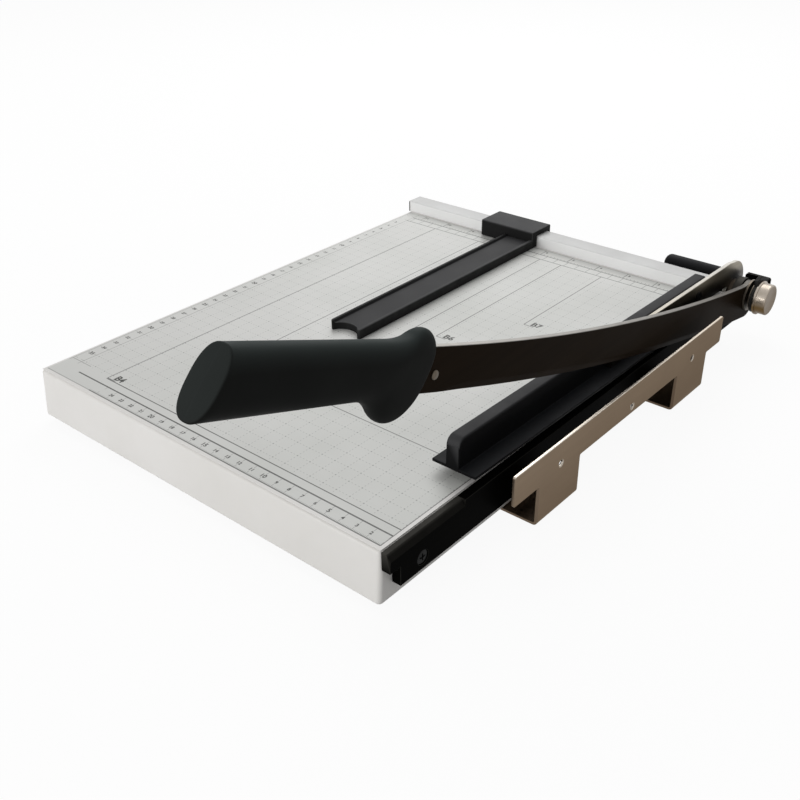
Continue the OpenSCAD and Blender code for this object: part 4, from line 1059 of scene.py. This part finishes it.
# Handle: oval rings strung between an upper and a lower guide line that run over the finger guards
handle = dict(start=416.0, rise=1.2, cant=-0.63, long=127.5, high=29.6, neckHigh=26.6, wide=18.0,
              neckWide=16.0, neckRun=0.15, guardWide=14.4, guardAt=0.25, flareWide=12.6, flareAt=0.10,
              rootWide=9.0, slant=23.2, upperRadius=11.0, upperAt=-3.7, upperRise=19.1, lowerRadius=16.5,
              lowerAt=10.3, lowerDrop=26.2, endSoft=1.0, endSteps=7, endDome=0.4,
              domeRings=(0.8, 0.55, 0.25, 0.05), square=2.5, endLight=-0.55, fair=5, clear=0.8, gripRows=46,
              guardRows=34, sides=64)


def resampled(line, count):
    # the same line with its points evenly spaced
    length = np.concatenate([[0], np.cumsum(np.linalg.norm(np.diff(line, axis=0), axis=1))])
    even = np.linspace(0, length[-1], count)
    return np.stack([np.interp(even, length, line[:, 0]), np.interp(even, length, line[:, 1])], 1)


def faired(line, reach):
    # moving average that rounds the hollow between grip and finger guard; the ends stay
    padded = np.concatenate([np.repeat(line[:1], reach, 0), line, np.repeat(line[-1:], reach, 0)])
    window = np.ones(2 * reach + 1) / (2 * reach + 1)
    soft = np.stack([np.convolve(padded[:, i], window, "valid") for i in range(2)], 1)
    soft[0], soft[-1] = line[0], line[-1]
    return soft


def makeHandle(look):
    tilt = math.radians(look["slant"])
    ahead = np.array([math.cos(tilt), math.sin(tilt)])
    soft, half, neck = look["endSoft"], look["high"] / 2, look["neckHigh"] / 2

    def guide(side, front, at, radius, reach):
        # grip line from the front end, then the finger guard's arc round to the root
        centre = np.array([at, reach - radius])
        meet = math.degrees(math.asin((neck - centre[1]) / radius))
        guardArc = arc(centre, radius, meet, 180, look["guardRows"])
        grip = resampled(np.array([front, guardArc[0]]), look["gripRows"])
        line = faired(np.concatenate([grip[:-1], guardArc]), look["fair"])
        return line * [1, side]

    lowerFront = np.array([look["long"], half]) - soft * np.array([ahead[0], -ahead[1]])
    upperFront = np.array([look["long"] - look["high"] * math.tan(tilt), half]) - soft * ahead
    top = guide(1, upperFront, look["upperAt"], look["upperRadius"], look["upperRise"])[::-1]
    bottom = guide(-1, lowerFront, look["lowerAt"], look["lowerRadius"], look["lowerDrop"])[::-1]
    middle, reach = (top + bottom) / 2, (top - bottom) / 2
    share = np.arange(len(top)) / (len(top) - 1)
    guardShare = look["guardRows"] / len(top)
    neckEnd = guardShare + look["neckRun"]
    widths = [look[key] for key in ("rootWide", "flareWide", "guardWide", "neckWide", "neckWide", "wide")]
    wide = np.interp(share, [0, look["flareAt"], look["guardAt"], guardShare, neckEnd, 1], widths) / 2
    # rounded front end: rings drawn in by r(1 - cos a) and pushed out by r sin a, then a slight dome
    turn = np.linspace(0, math.pi / 2, look["endSteps"])[1:]
    size = np.linalg.norm(reach[-1])
    inset = soft * (1 - np.cos(turn))
    push = soft * np.sin(turn)
    dome = np.array(look["domeRings"])
    scale = np.concatenate([1 - inset / size, (1 - soft / size) * dome])
    push = np.concatenate([push, soft + look["endDome"] * (1 - dome ** 2)])
    endWide = np.concatenate([wide[-1] - inset, (wide[-1] - soft) * dome])
    middle = np.concatenate([middle, middle[-1] + push[:, None] * ahead])
    reach = np.concatenate([reach, reach[-1] * scale[:, None]])
    wide = np.concatenate([wide, endWide])
    angle = np.linspace(0, 2 * math.pi, look["sides"], endpoint=False)
    across = np.sign(np.cos(angle)) * np.abs(np.cos(angle)) ** (2 / look["square"])
    up = np.sign(np.sin(angle)) * np.abs(np.sin(angle)) ** (2 / look["square"])
    x = armMid + wide[:, None] * across
    s = middle[:, :1] + reach[:, :1] * up
    t = middle[:, 1:] + reach[:, 1:] * up
    slope = math.asin((look["start"] - arm["lowAt"]) / arm["middleRadius"]) + math.radians(look["cant"])
    u = look["start"] + s * math.cos(slope) - t * math.sin(slope)
    v = middleHeight(look["start"]) + look["rise"] + s * math.sin(slope) + t * math.cos(slope)
    rings = np.stack([x, pivot[1] - u, pivot[2] + v], -1)
    # the painted top light is kept off the slanted end
    points, faces, wearAndLight = loft(rings, np.where(np.arange(len(rings)) >= len(top), look["endLight"], 0))
    # the side towards the tray is cut flat where the closed handle passes the tray's front
    closed = lifted(points, closedTilt)
    trayFront = span("base_shell")[0][1]
    passing = (closed[:, 1] > trayFront - look["clear"]) & (closed[:, 2] < look["clear"])
    points[:, 0] = np.where(passing, np.maximum(points[:, 0], armLow[0]), points[:, 0])
    return lifted(points, arm["restTilt"]), faces, wearAndLight


def makeHandlePlastic(look):
    # moulded grip: coarse skin, a fine parting line down the middle, and greyer on its upper side, where light
    # from above is painted
    material, tree, shader = newFinish("handlePlastic", Specular_IOR_Level=look["shine"])
    height, body = patchy(tree, look)
    across = put(tree, "SeparateXYZ", {0: ownPlace(tree)}).outputs[0]
    gap = maths(tree, "ABSOLUTE", maths(tree, "SUBTRACT", across, home[0] + armMid * mm))
    seam = remap(tree, gap, 0.0, look["seam"] * mm, 1.0, 0.0)
    seamMask = maths(tree, "MULTIPLY", seam, look["seamShare"])
    seamed = mixed(tree, seamMask, dusted(tree, body, look), look["seamTone"])
    tree.links.new(seamed, shader.inputs["Base Color"])
    setPolish(tree, shader, look)
    height = maths(tree, "ADD", height, maths(tree, "MULTIPLY", seam, look["seamHigh"]))
    setBump(tree, shader, height, look["bump"], look["bumpDepth"])
    return material


# the top tone is painted light on the grip's upper side
handlePlastic = makeHandlePlastic(dict(
    colour=tone(32, 33, 32), shade=tone(29, 30, 29), topLightTone=tone(60, 66, 65), seamTone=tone(52, 55, 56),
    seamShare=0.2, seam=0.35, seamHigh=1.2, fine=1300.0, slow=26.0, marks=36.0, gloss=(0.38, 0.52),
    shine=0.012, bump=0.20, bumpDepth=0.10))
addPiece("handle_shell", makeHandle(handle), "arm", "black_plastic", handlePlastic, "handle_grip")


# Rivet at the handle's root: turned dome
rivet = dict(radius=2.5, shoulder=0.35, edge=0.1, crown=0.15, steps=9, sides=40)
rivetLow, rivetHigh = span("handle_rivet")


def makeRivet(look):
    # quarter ellipse from the rim up to the crown, spun
    low, high, radius, edge = armHigh[0], rivetHigh[0], look["radius"], look["edge"]
    shoulder = low + look["shoulder"]
    angle = np.linspace(0, math.pi / 2, look["steps"])[:-1]
    curve = np.stack([shoulder + (high - shoulder) * np.sin(angle), radius * np.cos(angle)], 1)
    profile = np.concatenate([[(low, radius - edge), (low + edge, radius)], curve, [(high, look["crown"])]])
    return turned(profile, (0, *(rivetLow + rivetHigh)[1:] / 2), sides=look["sides"])


addPiece("root_rivet", makeRivet(rivet), "arm", "bright_steel", agedSteel, "handle_rivet")
print("blade arm and handle ready")


# Press bar: T section strung from rear to front, its web rounded off at the front, then lifted. Its lever is
# a plate with a hub round the bolt and a round head.
press = dict(front=72.0, rear=17.0, rearRing=0.5, lift=1.07, flange=2.0, high=20.8, webWide=9.0, webFront=5.0,
             frontSteps=12, frontBevel=0.8, flangeSoft=0.4, webSoft=1.3, root=1.2, seat=0.3, skin=0.02)
lever = dict(rim=0.4, reach=155.0, thick=3.0, hub=12.0, headRadius=21.0, headUp=2.5, headBack=-2.0, cut=1.0,
             hubSteps=30, headSteps=20, ease=9.0, high=20.5, behindFence=1.3, shadeFrom=-110.0, shadeTo=-150.0)
leverLow = span("press_lever")[0]
pressLow, pressHigh = span("press_bar")
flatFront = span("base_shell")[0][1] + press["front"]
flatRear = -press["rear"]


def makePressBar(look):
    web1 = leverLow[0]
    web0 = web1 - look["webWide"]
    low, top = look["flange"], look["high"]
    corners = [(pressLow[0], 0), (pressHigh[0], 0), (pressHigh[0], low), (web1, low), (web1, top),
               (web0, top), (web0, low), (pressLow[0], low)]
    soft, crown, root = look["flangeSoft"], look["webSoft"], look["root"]
    section = rounded(corners, [soft, soft, soft, look["seat"], crown, crown, root, soft], 5)
    quarter = np.linspace(math.pi / 2, 0, look["frontSteps"])
    r = look["webFront"]
    curveY = flatFront + r * (1 - np.sin(quarter))
    curveTop = top - r + r * np.cos(quarter)
    y = np.concatenate([[flatRear, flatRear - look["rearRing"]], curveY[::-1] + soft])
    tops = np.concatenate([[top, top], curveTop[::-1]])[:, None]
    web = section[:, 1] > low + look["skin"]
    height = section[:, 1] + web * (section[:, 1] - low) / (top - low) * (tops - top)
    x = np.repeat(section[None, :, 0], len(y), 0)
    rings = np.stack([x, np.repeat(y[:, None], len(section), 1), height], -1)
    endFace = rings[-1].copy()
    endFace[:, [0, 2]] += soft * look["frontBevel"] * inwardOf(endFace[:, [0, 2]])
    endFace[:, 1] -= soft
    points, faces = loft(np.concatenate([rings, endFace[None]]))[:2]
    # painted highlight: the web's top is painted grey for the light it reflects from above
    crownShine = np.clip((section[:, 1] - top + crown) / crown, 0, 1) ** 2
    return swung((points, faces, np.tile(crownShine, len(rings) + 1)), look["lift"])


def makeLever(look):
    hub, head, cut = look["hub"], look["headRadius"], look["cut"]
    centre = pivot[1:] + [look["headBack"], look["headUp"]]
    frontY = span("rear_fence")[1][1] + look["behindFence"]
    hubHalf = math.degrees(math.asin((cut - pivot[2]) / hub))
    headStart = math.degrees(math.asin((cut - centre[1]) / head))
    outline = np.concatenate([
        [(-look["reach"], press["flange"]), (frontY, press["flange"]), (frontY, cut)],
        arc(pivot[1:], hub, 180 - hubHalf, 360 + hubHalf, look["hubSteps"]),
        arc(centre, head, headStart, 90, look["headSteps"]),
        [(centre[0] - look["ease"], look["high"]), (-look["reach"], look["high"])]])
    points, faces, wearAndLight = acrossX(plate(outline, look["thick"], look["rim"]), leverLow[0])
    # painted shade: the front end, under the arm, gets none of the bright worn edge
    wearAndLight = wearAndLight * np.interp(points[:, 1], [look["shadeTo"], look["shadeFrom"]], [0, 1])
    return swung((points, faces, wearAndLight), press["lift"])


addPiece("press_tee", makePressBar(press), "press", "charcoal_plastic", pressPlastic, "press_bar")
addPiece("press_arm", makeLever(lever), "press", "bright_steel", brightSteel, "press_lever")


# Sleeve on the lever's cross rod: turned, with a round crown and an open bore
sleeve = dict(radius=7.0, bore=3.2, boreDeep=1.5, core=0.3, edges=(0.2, 4.5, 0.6, 0.3, 0.2), sides=48)


def makeSleeve(look):
    low, high = span("press_sleeve")
    radius, bore = look["radius"], look["bore"]
    corners = [(low[0], look["core"]), (low[0], radius), (high[0], radius), (high[0], bore),
               (high[0] - look["boreDeep"], bore)]
    profile = rounded(corners, look["edges"], 8, closed=False)
    return turned(profile, (0, *(low + high)[1:] / 2), sides=look["sides"])


addPiece("rod_sleeve", makeSleeve(sleeve), "press", "black_plastic", blackPlastic, "press_sleeve")
print("press bar ready")


# Gauge: bar with rims, an open channel and a finger notch in its front end, and the saddle over the fence
gauge = dict(rim=2.6, channel=1.8, slope=0.7, notch=7.0, soft=0.7, sideSoft=0.8, edgeSteps=5, horn=1.8,
             hair=0.01, rimReach=0.1, tongueLong=26.0, tongueHigh=2.6, tongueRoom=0.1, tongueCorner=1.0,
             tongueRoot=1.0, tongueRim=0.2, screwRadius=2.75, screwAt=(0.3, 0.75), screwSides=24, across=72,
             leftRimLight=-0.85, rightRimShine=0.25, floorLight=-0.22, browShine=(0.9, 0.9, 0.5, 0.0))
saddle = dict(rim=0.5, soft=1.2, foot=0.8, inner=0.3, gap=0.4)
barLow, barHigh = span("gauge_bar")


def makeGaugeBar(look):
    # Upright slices from left to right. A slice runs from the notched front, whose depth is a circle's arc
    # over its chord, along the channel's floor or a rim to the rear, and back over the tongue's slot.
    low, high = barLow, barHigh
    half = (high[0] - low[0]) / 2
    middle = low[0] + half
    rim, slope, soft = look["rim"], look["slope"], look["soft"]
    chord = half - rim
    radius = (chord ** 2 + look["notch"] ** 2) / (2 * look["notch"])
    turn = np.linspace(0, math.pi / 2, look["edgeSteps"])
    hair, run = look["hair"], rim + slope
    border = np.concatenate([(1 - np.cos(turn)) * look["sideSoft"],
                             [look["horn"], rim - hair, rim + hair, run, run + 2 * hair]])
    inner = np.linspace(border[-1], half, look["across"] // 2)[1:]
    depth = np.concatenate([border, inner])
    side = np.concatenate([depth, depth[:-1][::-1]])
    x = np.concatenate([low[0] + depth, high[0] - depth[:-1][::-1]])
    off = np.abs(x - middle)

    def roundOff(reach, size):
        # fall of a quarter circle at a distance from its edge
        return size - np.sqrt(np.maximum(size ** 2 - np.maximum(size - reach, 0) ** 2, 0))

    edge = roundOff(side, look["sideSoft"])
    front = low[1] + roundOff(side, look["horn"])
    front += np.where(off < chord, np.sqrt(np.maximum(radius ** 2 - off ** 2, 0)) - radius + look["notch"], 0)
    floor = look["channel"] * np.clip((side - rim) / slope, 0, 1)
    top, foot = high[2] - edge, low[2] + edge
    slot = np.where(off < chord, low[2] + look["tongueHigh"], foot + 2 * hair)
    rear, tongueEnd = high[1], high[1] - look["tongueLong"] - look["tongueRoom"]
    turn = turn[:, None]
    brow = np.stack([front + soft * (1 - np.sin(turn)), top - floor - soft * (1 - np.cos(turn))], -1)
    even = np.ones(len(x))
    walls = [(front, foot), (tongueEnd * even, foot), (tongueEnd * even, slot), (rear * even, slot),
             (rear * even, top - floor)]
    loop = np.concatenate([[np.stack(wall, -1) for wall in walls], brow])
    across = np.broadcast_to(x[None, :, None], loop.shape[:2] + (1,))
    points, faces = loft(np.concatenate([across, loop], -1).transpose(1, 0, 2))[:2]
    # painted highlight on the notch's brow and, a little, on the right rim; the painted top light is kept off the
    # left rim, which stays dark, and partly off the channel's floor
    wornAndLit = np.tile([0, 0, 0, 0, look["floorLight"], look["floorLight"], *look["browShine"]], (len(x), 1))
    onRim = (side < rim + look["rimReach"])[:, None]
    rimLight = np.where(x < middle, look["leftRimLight"], look["rightRimShine"])[:, None]
    wornAndLit[:, 4:] = np.where(onRim, rimLight, wornAndLit[:, 4:])
    return points, faces, wornAndLit.ravel()


def makeSaddle(look):
    low, high = span("gauge_block")
    fenceHigh = span("rear_fence")[1]
    front, gap = barHigh[1], look["gap"]
    top, back = high[2], high[1]
    railBack, railTop = fenceHigh[1:] + gap
    corners = [(front, gap), (-gap, gap), (-gap, railTop), (railBack, railTop), (railBack, low[2]),
               (back, low[2]), (back, top), (front, top)]
    soft, foot, inner = look["soft"], look["foot"], look["inner"]
    section = rounded(corners, [foot, foot, inner, inner, foot, foot, soft, soft], 6)
    body = acrossX(plate(section, high[0] - low[0], look["rim"], wallRub=False), low[0])
    # the tongue fills the bar's slot and holds its two screws
    long, room = gauge["tongueLong"], gauge["rim"] + gauge["tongueRoom"]
    x0, x1, end, root = barLow[0] + room, barHigh[0] - room, front - long, front + gauge["tongueRoot"]
    outline = rounded([(x0, end), (x1, end), (x1, root), (x0, root)], gauge["tongueCorner"])
    holes = [roundHole(((x0 + x1) / 2, front - share * long), gauge["screwRadius"], gauge["screwSides"])
             for share in gauge["screwAt"]]
    tongue = plate(outline, gauge["tongueHigh"] - gauge["tongueRoom"] / 2, gauge["tongueRim"], holes)
    return join(body, moved(tongue, (0, 0, barLow[2])))


addPiece("gauge_rule", makeGaugeBar(gauge), "gauge", "charcoal_plastic", charcoalPlastic, "gauge_bar")
addPiece("gauge_saddle", makeSaddle(saddle), "gauge", "charcoal_plastic", charcoalPlastic, "gauge_block")
print("gauge ready")


# Frame nodes that stay as they are get the finish of their slot
finishes = dict(tray_paint=trayPaint, table_print=tableFinish, fence_paint=fencePaint, black_steel=knifeSteel,
                black_paint=blackPaint, nickel=nickel, bright_steel=brightSteel, zinc_steel=zincSteel,
                bronze=bronze, black_plastic=blackPlastic, charcoal_plastic=charcoalPlastic,
                black_rubber=blackRubber, felt=feltWool)
oiled = dict(pivot_nut=darkSteel, lever_rivets=darkSteel, thrust_washer=agedSteel, disc_spring=agedSteel,
             spacer_bush=agedSteel)
for part in frame["record"]["subparts"]:
    for holder in frame["nodes"][part["node"]].material_slots:
        holder.material = oiled.get(part["node"], finishes[part["material_slot"]])


# Floor, light and camera: floor in metres, a lamp's place and size in millimetres, its power in watts
studio = dict(floor=6.0, ambient=0.46, floorGlow=0.93, floorRough=0.9, floorTone=(0.98, 0.98, 0.98, 1.0),
              bounceTone=(0.34, 0.34, 0.34, 1.0), target=(-140.0, -190.0, -10.0), lamps=dict(
                  key=((-700, 700, 1050), 1300, 10.5), front=((-700, -3600, 380), 1800, 80.0)))


def seenRays(tree):
    # 1 on rays that reach the camera straight, by a mirror or through glass, 0 on those that only light
    path = put(tree, "LightPath").outputs
    direct = maths(tree, "MAXIMUM", path["Is Camera Ray"], path["Is Glossy Ray"])
    return maths(tree, "MAXIMUM", direct, path["Is Transmission Ray"])


def makeFloor(look):
    half = look["floor"] / 2
    mesh = bpy.data.meshes.new("floor")
    corners = [(-half, -half, 0), (half, -half, 0), (half, half, 0), (-half, half, 0)]
    mesh.from_pydata(corners, [], [(0, 1, 2, 3)])
    floor = placed("floor", mesh)
    material, tree, shader = newFinish("floorCard", Roughness=look["floorRough"])
    seen = seenRays(tree)
    glow = put(tree, "Emission", {"Color": white, "Strength": 1.0})
    share = maths(tree, "MULTIPLY", seen, look["floorGlow"])
    tree.links.new(mixed(tree, seen, look["bounceTone"], look["floorTone"]), shader.inputs["Base Color"])
    blend = put(tree, "MixShader", {0: share, 1: shader.outputs[0], 2: glow.outputs[0]})
    tree.links.new(blend.outputs[0], tree.nodes["Material Output"].inputs["Surface"])
    mesh.materials.append(material)


def makeLamp(name, place, size, power, target):
    lamp = bpy.data.lights.new(name, "AREA")
    lamp.shape = "DISK"
    lamp.size = size * mm
    lamp.energy = power
    holder = placed(name, lamp)
    holder.location = worldPoint(place)
    holder.rotation_euler = (worldPoint(target) - holder.location).to_track_quat("-Z", "Y").to_euler()


def makeWorld(look):
    world = bpy.data.worlds.new("studio")
    bpy.context.scene.world = world
    world.use_nodes = True
    tree = world.node_tree
    background = tree.nodes["Background"]
    background.inputs["Color"].default_value = white
    strength = remap(tree, seenRays(tree), 0.0, 1.0, look["ambient"], 1.0)
    tree.links.new(strength, background.inputs["Strength"])


# Viewpoint measured from the printed rulers: place in millimetres, heading, tilt and roll in degrees
viewpoint = dict(place=(259.03, -679.17, 322.17), heading=-40.52, tilt=-30.60, roll=0.63, lens=45.58,
                 sensor=36.0, nearest=0.01)


def makeCamera(look):
    heading, tilt, roll = (math.radians(look[key]) for key in ("heading", "tilt", "roll"))
    ahead = Vector((math.sin(heading) * math.cos(tilt), math.cos(heading) * math.cos(tilt), math.sin(tilt)))
    right = ahead.cross(Vector((0, 0, 1))).normalized()
    down = ahead.cross(right)
    rolledRight = math.cos(roll) * right + math.sin(roll) * down
    rolledDown = math.cos(roll) * down - math.sin(roll) * right
    camera = bpy.data.cameras.new("camera")
    camera.lens = look["lens"]
    camera.sensor_width = look["sensor"]
    camera.clip_start = look["nearest"]
    holder = placed("camera", camera)
    turn = Matrix((rolledRight, -rolledDown, -ahead)).transposed()
    holder.matrix_world = Matrix.Translation(worldPoint(look["place"])) @ turn.to_4x4()
    bpy.context.scene.camera = holder


makeFloor(studio)
for lampName, (place, size, power) in studio["lamps"].items():
    makeLamp(lampName, place, size, power, studio["target"])
makeWorld(studio)
makeCamera(viewpoint)
bpy.context.scene.view_settings.view_transform = "Standard"
print("studio ready")
